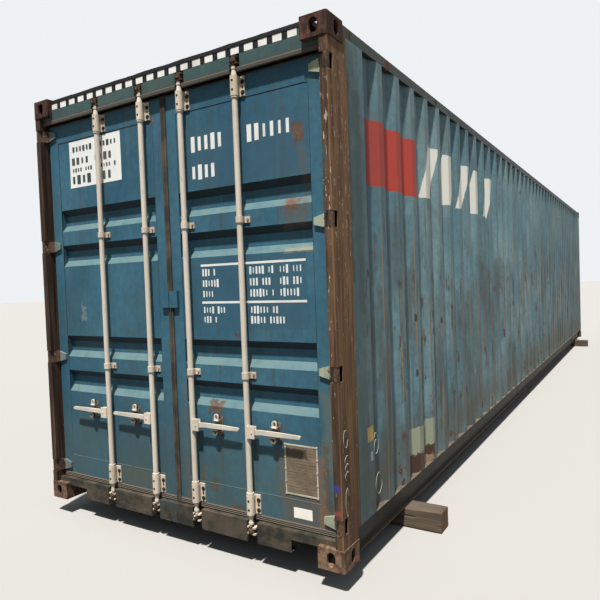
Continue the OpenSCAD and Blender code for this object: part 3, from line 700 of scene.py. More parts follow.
@dataclass(frozen=True)
class FittingPaint(Finish):
    """Chalky pale paint over zinc on the door gear, rusted at its joints and ends, with painted shade on
    faces that look down.
    """

    base: Colour = (0.66, 0.59, 0.50)
    worn: Colour = (0.46, 0.42, 0.36)
    grey: Colour = (0.30, 0.29, 0.27)
    rust: Rust = Rust(deep=(0.026, 0.016, 0.012), warm=(0.095, 0.052, 0.032), pale=(0.26, 0.17, 0.10))
    rust_share: float = 0.15
    end_rust: float = 0.16
    outer: float = 9.0
    high: float = 50.0
    high_fade: float = 0.05
    low: float = -1.0
    low_fade: float = 0.05

    def write(self, graph: Graph) -> None:
        """Write the material.

        Args:
            graph: Tree that the nodes go into.
        """
        tone = graph.cloud(0.30, 0.72, 3.0, 4.0, (3.0, 3.0, 0.6), 1.0)
        colour = graph.blend(tone, self.base, self.worn)
        scuffs = graph.cloud(0.55, 0.72, 1.0, 7.0, (70.0, 70.0, 9.0), 3.0, 0.65)
        colour = graph.wash(scuffs, 0.75, colour, self.grey)
        # Faces that look down are washed grey: painted shade.
        down = graph.ramp(graph.nz, -0.3, -0.8)
        colour = graph.wash(down, 0.6, colour, self.grey)
        pitted = graph.noise(34.0, 8.0, (1.0, 1.0, 0.7), 6.0, 0.66)
        high = graph.ramp(graph.z, self.high - self.high_fade, self.high + self.high_fade)
        low = graph.ramp(graph.z, self.low + self.low_fade, self.low - self.low_fade)
        beyond = graph.ramp(graph.math("ABSOLUTE", graph.y), self.outer - 0.012, self.outer + 0.012)
        ends = graph.times(graph.either(high, low, beyond), self.end_rust)
        edge = 0.72 - 0.3 * self.rust_share
        rusted = graph.ramp(graph.plus(pitted, ends), edge, edge + 0.05)
        colour = graph.blend(rusted, colour, self.rust.colour(graph))
        rough = graph.gain(0.55, rusted, 0.3)
        graph.surface(colour, rough, 0.25)
        height = graph.minus(graph.times(pitted, 0.5), graph.times(rusted, 0.4))
        graph.relief(height, 0.0012, 0.7)


@dataclass(frozen=True)
class SealRubber(Finish):
    """Dull rubber with dust in its folds."""

    base: Colour = (0.046, 0.037, 0.030)
    dust: Colour = (0.165, 0.140, 0.112)

    def write(self, graph: Graph) -> None:
        """Write the material.

        Args:
            graph: Tree that the nodes go into.
        """
        dusty = graph.cloud(0.42, 0.72, 5.0, 6.0, (1.0, 1.0, 1.0), 2.0)
        up = graph.ramp(graph.nz, 0.2, 0.8)
        cover = graph.times(graph.either(dusty, up), 0.65)
        colour = graph.blend(cover, self.base, self.dust)
        cracks = graph.noise(90.0, 5.0, (1.0, 1.0, 1.0), 5.0)
        split = graph.ramp(cracks, 0.62, 0.74)
        colour = graph.wash(split, 0.6, colour, (0.02, 0.015, 0.012))
        graph.surface(colour, graph.gain(0.68, dusty, 0.22), 0.15)
        graph.relief(graph.minus(cracks, split), 0.0012, 0.6)


@dataclass(frozen=True)
class Bronze(Finish):
    """A bare metal plate gone brown, with worn brighter spots."""

    base: Colour = (0.200, 0.158, 0.108)
    dark: Colour = (0.140, 0.108, 0.074)
    bright: Colour = (0.300, 0.250, 0.185)
    line_pitch: float = 0.0165
    patches: tuple[Patch, ...] = ()

    def write(self, graph: Graph) -> None:
        """Write the material.

        Args:
            graph: Tree that the nodes go into.
        """
        weave = graph.noise(1.0, 6.0, (12.0, 12.0, 20.0), 1.0, 0.6)
        colour = graph.blend(graph.ramp(weave, 0.35, 0.65), self.dark, self.base)
        colour = graph.wash(graph.ramp(weave, 0.60, 0.8), 0.6, colour, self.bright)
        wave = graph.math("SINE", graph.times(graph.z, math.tau / self.line_pitch))
        broken = graph.cloud(0.42, 0.56, 1.0, 3.0, (60.0, 60.0, 95.0), 6.0)
        ruled = graph.all_of(graph.ramp(wave, 0.1, 0.7), broken)
        colour = graph.wash(ruled, 0.75, colour, (0.085, 0.064, 0.042))
        colour = graph.lay(colour, self.patches)
        graph.surface(colour, graph.gain(0.50, weave, 0.3), 0.3, 0.15)
        graph.relief(weave, 0.0008, 0.6)


@dataclass(frozen=True)
class Marking(Finish):
    """Film or stencil paint of one colour, a little dirty and chipped."""

    base: Colour
    dirt: Colour
    wear: float = 0.35
    roughness: float = 0.45

    def write(self, graph: Graph) -> None:
        """Write the material.

        Args:
            graph: Tree that the nodes go into.
        """
        soil = graph.cloud(0.45, 0.75, 7.0, 6.0, (1.0, 1.0, 0.5), 3.0, 0.62)
        colour = graph.wash(soil, self.wear, self.base, self.dirt)
        chips = graph.cloud(0.66, 0.72, 45.0, 6.0, shift=9.0)
        colour = graph.wash(chips, self.wear, colour, self.dirt)
        graph.surface(colour, graph.gain(self.roughness, soil, 0.2), 0.2)
        graph.relief(graph.noise(30.0, 3.0), 0.0004, 0.5)


@dataclass(frozen=True)
class Plywood(Finish):
    """Floor of sealed plywood sheets, scuffed by pallets."""

    base: Colour = (0.250, 0.145, 0.070)
    dark: Colour = (0.110, 0.062, 0.032)
    worn: Colour = (0.360, 0.260, 0.160)
    sheet_l: float = 2.44
    sheet_w: float = 1.163

    def write(self, graph: Graph) -> None:
        """Write the material.

        Args:
            graph: Tree that the nodes go into.
        """
        grain = graph.noise(1.0, 7.0, (1.3, 22.0, 60.0), 1.0, 0.6)
        colour = graph.blend(graph.ramp(grain, 0.32, 0.68), self.dark, self.base)
        scuffs = graph.cloud(0.50, 0.74, 1.0, 7.0, (0.9, 9.0, 9.0), 7.0, 0.6)
        colour = graph.wash(scuffs, 0.7, colour, self.worn)
        along = graph.math("FLOORED_MODULO", graph.x, self.sheet_l)
        across = graph.math("FLOORED_MODULO", graph.y, self.sheet_w)
        seams = graph.math("MINIMUM", graph.math("MINIMUM", along, graph.minus(self.sheet_l, along)),
                           graph.math("MINIMUM", across, graph.minus(self.sheet_w, across)))
        seam = graph.ramp(seams, 0.004, 0.001)
        colour = graph.blend(seam, colour, (0.02, 0.014, 0.01))
        graph.surface(colour, graph.gain(0.55, scuffs, 0.25), 0.4)
        graph.relief(graph.minus(grain, seam), 0.0015, 0.6)


@dataclass(frozen=True)
class Timber(Finish):
    """Rough sawn softwood, grey on its faces and tan where it is rubbed."""

    base: Colour = (0.130, 0.096, 0.068)
    grey: Colour = (0.080, 0.066, 0.052)
    dark: Colour = (0.036, 0.027, 0.020)
    end_tan: Colour = (0.270, 0.175, 0.095)
    pith_z: float = -0.03

    def write(self, graph: Graph) -> None:
        """Write the material, with rings on the end grain.

        Args:
            graph: Tree that the nodes go into.
        """
        grain = graph.noise(1.0, 8.0, (90.0, 3.0, 90.0), 1.0, 0.62)
        colour = graph.blend(graph.ramp(grain, 0.36, 0.62), self.grey, self.base)
        checks = graph.cloud(0.62, 0.70, 1.0, 6.0, (60.0, 1.6, 60.0), 11.0)
        colour = graph.blend(checks, colour, self.dark)
        wet = graph.cloud(0.45, 0.75, 4.0, 5.0, shift=5.0)
        colour = graph.wash(wet, 0.45, colour, self.dark)
        ring = self.rings(graph)
        end = graph.ramp(graph.math("ABSOLUTE", graph.ny), 0.6, 0.85)
        colour = graph.blend(end, colour, graph.blend(ring, self.dark, self.end_tan))
        graph.surface(colour, 0.88, 0.12)
        graph.relief(graph.minus(grain, checks), 0.003, 0.8)

    def rings(self, graph: Graph) -> Socket:
        """Growth rings about a pith below the timber.

        Args:
            graph: Tree that the nodes go into.

        Returns:
            Mask of the pale early wood.
        """
        side = graph.minus(graph.math("PINGPONG", graph.plus(graph.x, 40.0), 0.6), 0.25)
        drop = graph.minus(graph.z, self.pith_z)
        square = graph.gain(graph.times(side, side), drop, drop)
        radius = graph.gain(graph.math("SQRT", square), graph.noise(9.0), 0.02)
        return graph.ramp(graph.math("SINE", graph.times(radius, 900.0)), -0.7, 0.8)


class Draft:
    """A mesh in the making."""

    def __init__(self) -> None:
        """Start an empty mesh."""
        self.bm = bmesh.new()

    def block(self, low: Vector, high: Vector) -> None:
        """Add a box between two corners.

        Args:
            low: Lowest corner.
            high: Highest corner.
        """
        size = high - low
        place = Matrix.Translation((low + high) / 2.0) @ Matrix.Diagonal((size.x, size.y, size.z, 1.0))
        bmesh.ops.create_cube(self.bm, size=1.0, matrix=place)

    def loft(self, rings: Sequence[Sequence[Vector]]) -> None:
        """Join rings of points into a closed skin with flat ends.

        Args:
            rings: Rings with the same number of points, in order along the piece.
        """
        rows = [[self.bm.verts.new(point) for point in ring] for ring in rings]
        count = len(rows[0])
        for first, second in zip(rows, rows[1:]):
            for i in range(count):
                j = (i + 1) % count
                self.bm.faces.new((first[i], first[j], second[j], second[i]))
        self.bm.faces.new(list(reversed(rows[0])))
        self.bm.faces.new(rows[-1])

    def finish(self, name: str, material: bpy.types.Material, bevel: float = 0.0) -> bpy.types.Object:
        """Turn the draft into an object.

        Args:
            name: Name of the object.
            material: Its material.
            bevel: Width that all sharp edges are bevelled by.

        Returns:
            The object.
        """
        bmesh.ops.recalc_face_normals(self.bm, faces=self.bm.faces)
        if bevel > 0.0:
            sharp = [edge for edge in self.bm.edges if edge.is_manifold and edge.calc_face_angle(0.0) > 0.5]
            bmesh.ops.bevel(self.bm, geom=sharp, offset=bevel, segments=2, profile=0.5, affect="EDGES")
        mesh = bpy.data.meshes.new(name)
        self.bm.to_mesh(mesh)
        self.bm.free()
        mesh.materials.append(material)
        piece = bpy.data.objects.new(name, mesh)
        bpy.context.scene.collection.objects.link(piece)
        return piece


class Workshop:
    """Hands finished pieces to the frame and keeps the materials."""

    def __init__(self, site: Site) -> None:
        """Keep the site and start an empty store of materials.

        Args:
            site: Places of the container.
        """
        self.site = site
        self.materials: dict[str, bpy.types.Material] = {}

    def material(self, finish: Finish) -> bpy.types.Material:
        """Build a finish once and return its material.

        Args:
            finish: The finish.

        Returns:
            Its material.
        """
        if finish.name not in self.materials:
            self.materials[finish.name] = finish.build()
        return self.materials[finish.name]

    def deliver(self, piece: bpy.types.Object, body: str, slot: Slot, *replaced: str) -> None:
        """Let a piece ride on a body and report it.

        Args:
            piece: The finished piece.
            body: Body that it moves with.
            slot: Material slot of the record; not used.
            replaced: CAD nodes that it stands for.
        """
        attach(piece, body)
        if replaced:
            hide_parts(*replaced)
        LOG.info("%s on %s, %d faces", piece.name, body, len(piece.data.polygons))


class GeometryTool(Tree):
    """A writer of geometry node trees whose result is turned into a plain mesh."""

    def __init__(self, name: str) -> None:
        """Start a tree with geometry in and out.

        Args:
            name: Name of the tree.
        """
        super().__init__(bpy.data.node_groups.new(name, "GeometryNodeTree"))
        for way in ("INPUT", "OUTPUT"):
            self.tree.interface.new_socket("Geometry", in_out=way, socket_type="NodeSocketGeometry")
        self.ids: dict[str, str] = {}
        self.way_in = self.node("NodeGroupInput")
        self.way_out = self.node("NodeGroupOutput")

    def value(self, name: str, kind: str = "NodeSocketFloat") -> Socket:
        """Add a named input and return its socket inside the tree.

        Args:
            name: Name of the input.
            kind: Type of its socket.

        Returns:
            The socket.
        """
        socket = self.tree.interface.new_socket(name, in_out="INPUT", socket_type=kind)
        self.ids[name] = socket.identifier
        return self.way_in.outputs[name]

    def chance(self, seed: Socket, least: Value, most: float) -> Socket:
        """Random number between two limits, drawn for each point.

        Args:
            seed: Seed of the draw.
            least: Lower limit.
            most: Upper limit.

        Returns:
            The number.
        """
        draw = self.node("FunctionNodeRandomValue", Seed=seed)
        draw.data_type = "FLOAT"
        self.join(least, draw.inputs[2])
        self.join(most, draw.inputs[3])
        return draw.outputs[1]

    def spread(self, part: bpy.types.Node, finish: Socket, **inputs: Socket) -> None:
        """End the tree with a shape set on each of the points that it is given.

        Args:
            part: Node that hands out the shape.
            finish: Socket of the material input.
            inputs: Turn or scale of the shape at each point.
        """
        points = self.node("GeometryNodeMeshToPoints", Mesh=self.way_in.outputs[0])
        placed = self.node("GeometryNodeInstanceOnPoints", Points=points.outputs[0],
                           Instance=part.outputs[0], **inputs)
        self.close(placed.outputs[0], finish)

    def close(self, shape: Socket, finish: Socket) -> None:
        """End the tree in Realize Instances and Set Material.

        Args:
            shape: Geometry to hand out.
            finish: Socket of the material input.
        """
        solid = self.node("GeometryNodeRealizeInstances", Geometry=shape)
        painted = self.node("GeometryNodeSetMaterial", Geometry=solid.outputs[0], Material=finish)
        self.join(painted.outputs[0], self.way_out.inputs[0])

    def run(self, name: str, points: Sequence[Vector], edges: Sequence[tuple[int, int]],
            values: dict[str, object]) -> bpy.types.Object:
        """Run the tree on points or paths and return a plain mesh object.

        Args:
            name: Name of the piece.
            points: Points that the tree works on.
            edges: Edges between them, where they form paths.
            values: Values of the named inputs.

        Returns:
            The piece.
        """
        seed = bpy.data.meshes.new(f"{name}_points")
        seed.from_pydata([tuple(point) for point in points], list(edges), [])
        holder = bpy.data.objects.new(f"{name}_holder", seed)
        bpy.context.scene.collection.objects.link(holder)
        modifier = holder.modifiers.new("Shape", "NODES")
        modifier.node_group = self.tree
        for key, value in values.items():
            modifier[self.ids[key]] = value
        graph = bpy.context.evaluated_depsgraph_get()
        mesh = bpy.data.meshes.new_from_object(holder.evaluated_get(graph))
        mesh.name = name
        bpy.data.objects.remove(holder)
        bpy.data.meshes.remove(seed)
        piece = bpy.data.objects.new(name, mesh)
        bpy.context.scene.collection.objects.link(piece)
        return piece


class HeadTool(GeometryTool):
    """Bolt heads on washers, one at each point, all facing the same way."""

    head_sides: int = 6
    washer_sides: int = 12
    washer_reach: float = 1.5
    washer_thick: float = 3.0 * MM

    def __init__(self) -> None:
        """Write the tree."""
        super().__init__("Bolt heads")
        radius = self.value("Head Radius")
        height = self.value("Head Height")
        facing = self.value("Facing", "NodeSocketVector")
        seed = self.value("Seed", "NodeSocketInt")
        finish = self.value("Finish", "NodeSocketMaterial")
        lift = self.node("ShaderNodeCombineXYZ", Z=self.math("MULTIPLY", height, 0.5))
        head = self.node("GeometryNodeMeshCylinder", Vertices=self.head_sides, Radius=radius, Depth=height)
        raised = self.node("GeometryNodeTransform", Geometry=head.outputs[0], Translation=lift.outputs[0])
        wide = self.math("MULTIPLY", radius, self.washer_reach)
        washer = self.node("GeometryNodeMeshCylinder", Vertices=self.washer_sides, Radius=wide,
                           Depth=self.washer_thick)
        both = self.node("GeometryNodeJoinGeometry")
        for part in (washer, raised):
            self.join(part.outputs[0], both.inputs[0])
        spin = self.node("ShaderNodeCombineXYZ", Z=self.chance(seed, 0.0, math.tau))
        turn = self.node("FunctionNodeEulerToRotation", Euler=spin.outputs[0])
        aim = self.node("FunctionNodeAlignRotationToVector", Vector=facing)
        aim.axis = "Z"
        whole = self.node("FunctionNodeRotateRotation", Rotation=aim.outputs[0], Rotate_By=turn.outputs[0])
        whole.rotation_space = "LOCAL"
        self.spread(both, finish, Rotation=whole.outputs[0])

    def heads(self, name: str, points: Sequence[Vector], size: Point2, facing: Point3, seed: int,
              finish: bpy.types.Material) -> bpy.types.Object:
        """Set heads on points.

        Args:
            name: Name of the piece.
            points: Middles of the heads' undersides.
            size: Radius and height of a head.
            facing: Way that the heads face.
            seed: Seed of their turns.
            finish: Their material.

        Returns:
            The piece.
        """
        values = {"Head Radius": size[0], "Head Height": size[1], "Facing": facing, "Seed": seed,
                  "Finish": finish}
        return self.run(name, points, [], values)


class BarTool(GeometryTool):
    """Flat rectangular marks, one at each point, with sizes that vary by a fixed seed."""

    def __init__(self) -> None:
        """Write the tree."""
        super().__init__("Flat marks")
        size = self.value("Size", "NodeSocketVector")
        least_width = self.value("Least Width")
        least_height = self.value("Least Height")
        seed = self.value("Seed", "NodeSocketInt")
        finish = self.value("Finish", "NodeSocketMaterial")
        mark = self.node("GeometryNodeMeshCube", Size=size)
        scale = self.node("ShaderNodeCombineXYZ", X=1.0, Y=self.chance(seed, least_width, 1.0),
                          Z=self.chance(seed, least_height, 1.0))
        self.spread(mark, finish, Scale=scale.outputs[0])

    def marks(self, name: str, points: Sequence[Vector], size: Point3, least: Point2, seed: int,
              finish: bpy.types.Material) -> bpy.types.Object:
        """Set marks on points.

        Args:
            name: Name of the piece.
            points: Middles of the marks.
            size: Full size of a mark.
            least: Smallest share of the full width and height.
            seed: Seed of their sizes.
            finish: Their material.

        Returns:
            The piece.
        """
        values = {"Size": size, "Least Width": least[0], "Least Height": least[1], "Seed": seed,
                  "Finish": finish}
        return self.run(name, points, [], values)


class BeadTool(GeometryTool):
    """A bead of weld or sealant along a path, a little uneven."""

    sides: int = 6
    lumps: float = 45.0

    def __init__(self) -> None:
        """Write the tree."""
        super().__init__("Bead")
        radius = self.value("Radius")
        step = self.value("Step")
        rough = self.value("Unevenness")
        finish = self.value("Finish", "NodeSocketMaterial")
        path = self.node("GeometryNodeMeshToCurve", Mesh=self.way_in.outputs[0])
        even = self.node("GeometryNodeResampleCurve", Curve=path.outputs[0], Length=step)
        even.mode = "LENGTH"
        ring = self.node("GeometryNodeCurvePrimitiveCircle", Resolution=self.sides, Radius=radius)
        skin = self.node("GeometryNodeCurveToMesh", Curve=even.outputs[0], Profile_Curve=ring.outputs[0],
                         Fill_Caps=True)
        cloud = self.node("ShaderNodeTexNoise", Scale=self.lumps)
        centred = self.node("ShaderNodeVectorMath")
        centred.operation = "SUBTRACT"
        self.join(cloud.outputs["Color"], centred.inputs[0])
        self.join((0.5, 0.5, 0.5), centred.inputs[1])
        reach = self.node("ShaderNodeVectorMath")
        reach.operation = "SCALE"
        self.join(centred.outputs[0], reach.inputs[0])
        self.join(rough, reach.inputs["Scale"])
        moved = self.node("GeometryNodeSetPosition", Geometry=skin.outputs[0], Offset=reach.outputs[0])
        self.close(moved.outputs[0], finish)

    def bead(self, name: str, points: Sequence[Vector], edges: Sequence[tuple[int, int]], size: Point3,
             finish: bpy.types.Material) -> bpy.types.Object:
        """Lay a bead along paths.

        Args:
            name: Name of the piece.
            points: Points of the paths.
            edges: Edges between them.
            size: Radius of the bead, length of a step and unevenness.
            finish: Its material.

        Returns:
            The piece.
        """
        values = {"Radius": size[0], "Step": size[1], "Unevenness": size[2], "Finish": finish}
        return self.run(name, points, edges, values)


@dataclass
class DoorSeal:
    """Ribbed rubber seal around one door, with the lip that covers the gap at the centre."""

    shop: Workshop
    side: Side
    rib: float = 4.0 * MM
    step: float = 0.045
    wander: float = 0.3 * MM
    edge_back: float = 118.0 * MM
    edge_front: float = 76.0 * MM
    run_front: float = 64.0 * MM
    lip_back: float = 71.5 * MM
    lip_front: float = 60.0 * MM
    lip_width: float = 18.8 * MM
    centre: float = 8.0 * MM

    def bar(self, draft: Draft, upright: bool, run: Sequence[float], across: Sequence[float],
            front: float, back: float, ribs: int) -> None:
        """Add one ribbed bar.

        Args:
            draft: Mesh that the bar goes into.
            upright: Whether the bar runs up, and not across.
            run: Start and end along the bar, as absolute coordinates.
            across: Lowest and highest coordinate across the bar.
            front: Depth of the rib tops behind the door end.
            back: Depth of the back.
            ribs: Number of ribs on the front.
        """
        site = self.shop.site
        count = max(2, round((run[1] - run[0]) / self.step))
        fine = 6 * ribs
        rings = []
        for i in range(count + 1):
            s = between(run, i, count)
            points = [(back, across[0])]
            for k in range(fine + 1):
                t = k / fine
                swell = 0.5 + 0.5 * math.cos(math.tau * ribs * t)
                sway = wave(s * 7.0, across[0] * 9.0, t * 2.0) * self.wander
                inside = 0.0 if i in (0, count) else sway
                points.append((front + self.rib * swell + max(0.0, inside), between(across, k, fine)))
            points.append((back, across[1]))
            rings.append([Vector((site.door_x + d, a, s)) if upright else Vector((site.door_x + d, s, a))
                          for d, a in points])
        draft.loft(rings)

    def build(self) -> None:
        """Model the seal in place of the plain solid."""
        node = f"{self.side.word}_door_gasket"
        low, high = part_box(node)
        frame_low, frame_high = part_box(f"{self.side.word}_door_frame")
        sign = self.side.value
        outer = max(sign * frame_low.y, sign * frame_high.y)
        gap, reach = sorted((sign * low.y, sign * high.y))
        draft = Draft()
        across = sorted((sign * outer, sign * reach))
        self.bar(draft, True, (low.z, high.z), across, self.edge_front, self.edge_back, 2)
        ends = sorted((sign * self.centre, sign * outer))
        for z in ((low.z, frame_low.z), (frame_high.z, high.z)):
            self.bar(draft, False, ends, z, self.run_front, self.edge_back, 3)
        lip = sorted((sign * gap, sign * (gap + self.lip_width)))
        self.bar(draft, True, (low.z, high.z), lip, self.lip_front, self.lip_back, 2)
        piece = draft.finish(f"{self.side.word}_door_seal", self.shop.material(SealRubber("seal_rubber")))
        self.shop.deliver(piece, self.side.door, Slot.SEAL, node)


@dataclass
class DoorGearBolts:
    """Bolts that hold the rod bearings, guide clamps and handle retainers to one door."""

    shop: Workshop
    side: Side
    tool: HeadTool
    rods: tuple[float, ...] = (0.171, 0.593)
    flange_depth: float = 64.0 * MM
    clamp_depth: float = 66.0 * MM
    plate_depth: float = 68.0 * MM
    bolt_y: float = -39.0 * MM
    bearing_low: float = 188.0 * MM
    bearing_high: float = 2594.0 * MM
    bearing_bolts: tuple[float, ...] = (21.0 * MM, 80.0 * MM)
    stud_z: float = 51.0 * MM
    tube_depth: float = 15.4 * MM
    tube_y: float = -2.0 * MM
    tube_marks: tuple[float, ...] = (32.0 * MM, 84.0 * MM)
    clamp_zs: tuple[float, ...] = (0.998, 1.896)
    retainer_y: float = 182.0 * MM
    retainer_bolts: tuple[Point2, ...] = ((-23.0 * MM, 0.629), (23.0 * MM, 0.629), (0.0, 0.728))
    bolt: Point2 = (9.0 * MM, 7.0 * MM)
    stud: Point2 = (4.5 * MM, 2.5 * MM)
    clamp_bolt: Point2 = (6.5 * MM, 6.0 * MM)
    seed: int = 3

    def build(self) -> None:
        """Set the bolt heads."""
        sign = self.side.value
        site = self.shop.site
        points = []
        studs = []
        clamps = []
        for rod in self.rods:
            y = sign * rod
            for base in (self.bearing_low, self.bearing_high):
                points += [site.at(self.flange_depth, y + self.bolt_y, base + z) for z in self.bearing_bolts]
                studs.append(site.at(self.flange_depth, y + self.bolt_y, base + self.stud_z))
                studs += [site.at(self.tube_depth, y + self.tube_y, base + z) for z in self.tube_marks]
            clamps += [site.at(self.clamp_depth, y + self.bolt_y, z) for z in self.clamp_zs]
            middle = sign * (rod + self.retainer_y)
            points += [site.at(self.plate_depth, middle + y_off, z) for y_off, z in self.retainer_bolts]
        steel = self.shop.material(RustedSteel("bolt_rust", (0.022, 0.015, 0.012), (0.058, 0.036, 0.024),
                                               (0.20, 0.16, 0.12), (0.26, 0.22, 0.18), 0.2, 0.3,
                                               (60.0, 60.0, 60.0)))
        pale = self.shop.material(FittingPaint("clamp_bolt_paint", (0.36, 0.28, 0.21), (0.20, 0.14, 0.10),
                                               rust_share=0.4))
        for name, places, size, finish in (("gear_bolts", points, self.bolt, steel),
                                           ("gear_studs", studs, self.stud, steel),
                                           ("clamp_bolts", clamps, self.clamp_bolt, pale)):
            piece = self.tool.heads(f"{self.side.word}_{name}", places, size, FORWARD, self.seed, finish)
            self.shop.deliver(piece, self.side.door, Slot.FITTING)


@dataclass
class PanelBead:
    """Bead of sealant around a door panel, where it is welded into the frame."""

    shop: Workshop
    side: Side
    tool: BeadTool
    size: Point3 = (2.2 * MM, 30.0 * MM, 1.8 * MM)
    depth: float = 73.2 * MM

    def build(self) -> None:
        """Lay the bead."""
        low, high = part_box(f"{self.side.word}_door_panel")
        x = self.shop.site.door_x + self.depth
        sides = ((low.y, low.z), (high.y, low.z), (high.y, high.z), (low.y, high.z))
        corners = [Vector((x, y, z)) for y, z in sides]
        edges = [(0, 1), (1, 2), (2, 3), (3, 0)]
        dark = Patch((0.0, 0.0, high.z), (0.0, 0.0, 1.6), (0.022, 0.036, 0.038), 0.85, 0.02)
        finish = self.shop.material(AgedPaint("bead_paint", (0.040, 0.085, 0.095), (0.075, 0.130, 0.135),
                                              (0.110, 0.140, 0.120), (0.010, 0.014, 0.015), rust_share=0.35,
                                              rust_grain=20.0, patches=(dark,)))
        piece = self.tool.bead(f"{self.side.word}_panel_bead", corners, edges, self.size, finish)
        self.shop.deliver(piece, self.side.door, Slot.WALL)


@dataclass
class HeaderMarks:
    """Chequered height marks along the top of the header, with the crimped edge above them."""

    shop: Workshop
    tool: BarTool
    pitch: float = 96.0 * MM
    width: float = 62.0 * MM
    low: float = 2824.0 * MM
    white_high: float = 2864.0 * MM
    high: float = 2878.0 * MM
    face: float = 36.0 * MM
    thick: float = 0.8 * MM
    reach: float = 1.055
    edge_top: float = 2889.0 * MM
    edge_steps: int = 150
    edge_reach: float = 3.5 * MM
    edge_back: float = 6.0 * MM
    dent: float = 3.0 * MM
    ripple: float = 2.0 * MM

    def build(self) -> None:
        """Make the dark band, the pale squares and the crimped edge."""
        site = self.shop.site
        black = self.shop.material(Marking("mark_black", (0.007, 0.007, 0.008), (0.040, 0.036, 0.032), 0.4,
                                           0.7))
        white = self.shop.material(Marking("mark_white", (0.80, 0.80, 0.77), (0.36, 0.31, 0.24), 0.45))
        self.edge(black)
        count = int(2.0 * self.reach / self.pitch) + 1
        ys = [self.reach - self.width / 2.0 - i * self.pitch for i in range(count)]
        darks = [y - self.pitch / 2.0 for y in ys
                 if abs(y - self.pitch / 2.0) < self.reach - self.pitch / 2.0]
        for name, middles, width, high, least, seed, finish in (
                ("dark", darks, self.pitch - self.width, self.high, (1.0, 1.0), 1, black),
                ("pale", ys, self.width, self.white_high, (0.90, 0.92), 5, white)):
            points = [site.at(self.face - self.thick / 2.0, y, (self.low + high) / 2.0) for y in middles]
            size = (self.thick, width, high - self.low)
            piece = self.tool.marks(f"header_{name}_squares", points, size, least, seed, finish)
            self.shop.deliver(piece, "container", Slot.WALL)

    def edge(self, finish: bpy.types.Material) -> None:
        """Add the crimped dark edge that stands along the header's top.

        Args:
            finish: Its material.
        """
        site = self.shop.site
        draft = Draft()
        rings = []
        for i in range(self.edge_steps + 1):
            y = between((-self.reach, self.reach), i, self.edge_steps)
            dent = wave(y * 6.0, 0.0, 0.0) * self.dent
            ripple = wave(y * 22.0, 4.0, 0.0) * self.ripple
            top = self.edge_top + dent + ripple
            front = self.face - self.edge_reach - abs(ripple)
            outline = ((front, self.white_high + 2.0 * MM), (self.face, self.white_high),
                       (self.face + self.edge_back, top), (front + 1.0 * MM, top))
            rings.append([site.at(d, y, z) for d, z in outline])
        draft.loft(rings)
        self.shop.deliver(draft.finish("header_crimped_edge", finish), "container", Slot.WALL)


@dataclass(frozen=True)
class MarkRow:
    """A row of plain marks: start and end across the door, height of its foot and size of a mark."""

    start: float
    end: float
    foot: float
    height: float
    width: float
    gap: float


def stencil_rows() -> tuple[MarkRow, ...]:
    """Rows of plain marks and two rules on the right door.

    Returns:
        The rows, in heights above the corner fittings' undersides.
    """
    rows = [MarkRow(-0.215, -0.475, 2.330, 0.105, 0.036, 0.016),
            MarkRow(-0.640, -0.985, 2.330, 0.105, 0.036, 0.016),
            MarkRow(-0.215, -0.475, 2.165, 0.095, 0.034, 0.016)]
    for foot in (1.641, 1.416):
        rows.append(MarkRow(-0.256, -1.004, foot, 0.013, 0.747, 0.0))
    for foot, height, *spans in ((1.580, 0.048, (0.266, 0.375), (0.622, 0.805), (0.830, 0.988)),
                                 (1.514, 0.048, (0.266, 0.425), (0.622, 0.780), (0.830, 0.988)),
                                 (1.450, 0.048, (0.266, 0.355), (0.622, 0.800), (0.830, 0.988)),
                                 (1.354, 0.046, (0.266, 0.440), (0.622, 0.830)),
                                 (1.296, 0.046, (0.266, 0.370), (0.622, 0.860))):
        rows += [MarkRow(-start, -end, foot, height, 0.015, 0.007) for start, end in spans]
    return tuple(rows)


def sign_rows() -> tuple[MarkRow, ...]:
    """Rows of plain marks on the left door's sign.

    Returns:
        The rows.
    """
    return (MarkRow(0.900, 0.440, 2.502, 0.040, 0.026, 0.010),
            MarkRow(0.910, 0.430, 2.412, 0.052, 0.034, 0.014),
            MarkRow(0.905, 0.435, 2.362, 0.028, 0.018, 0.009),
            MarkRow(0.915, 0.425, 2.275, 0.066, 0.040, 0.014))


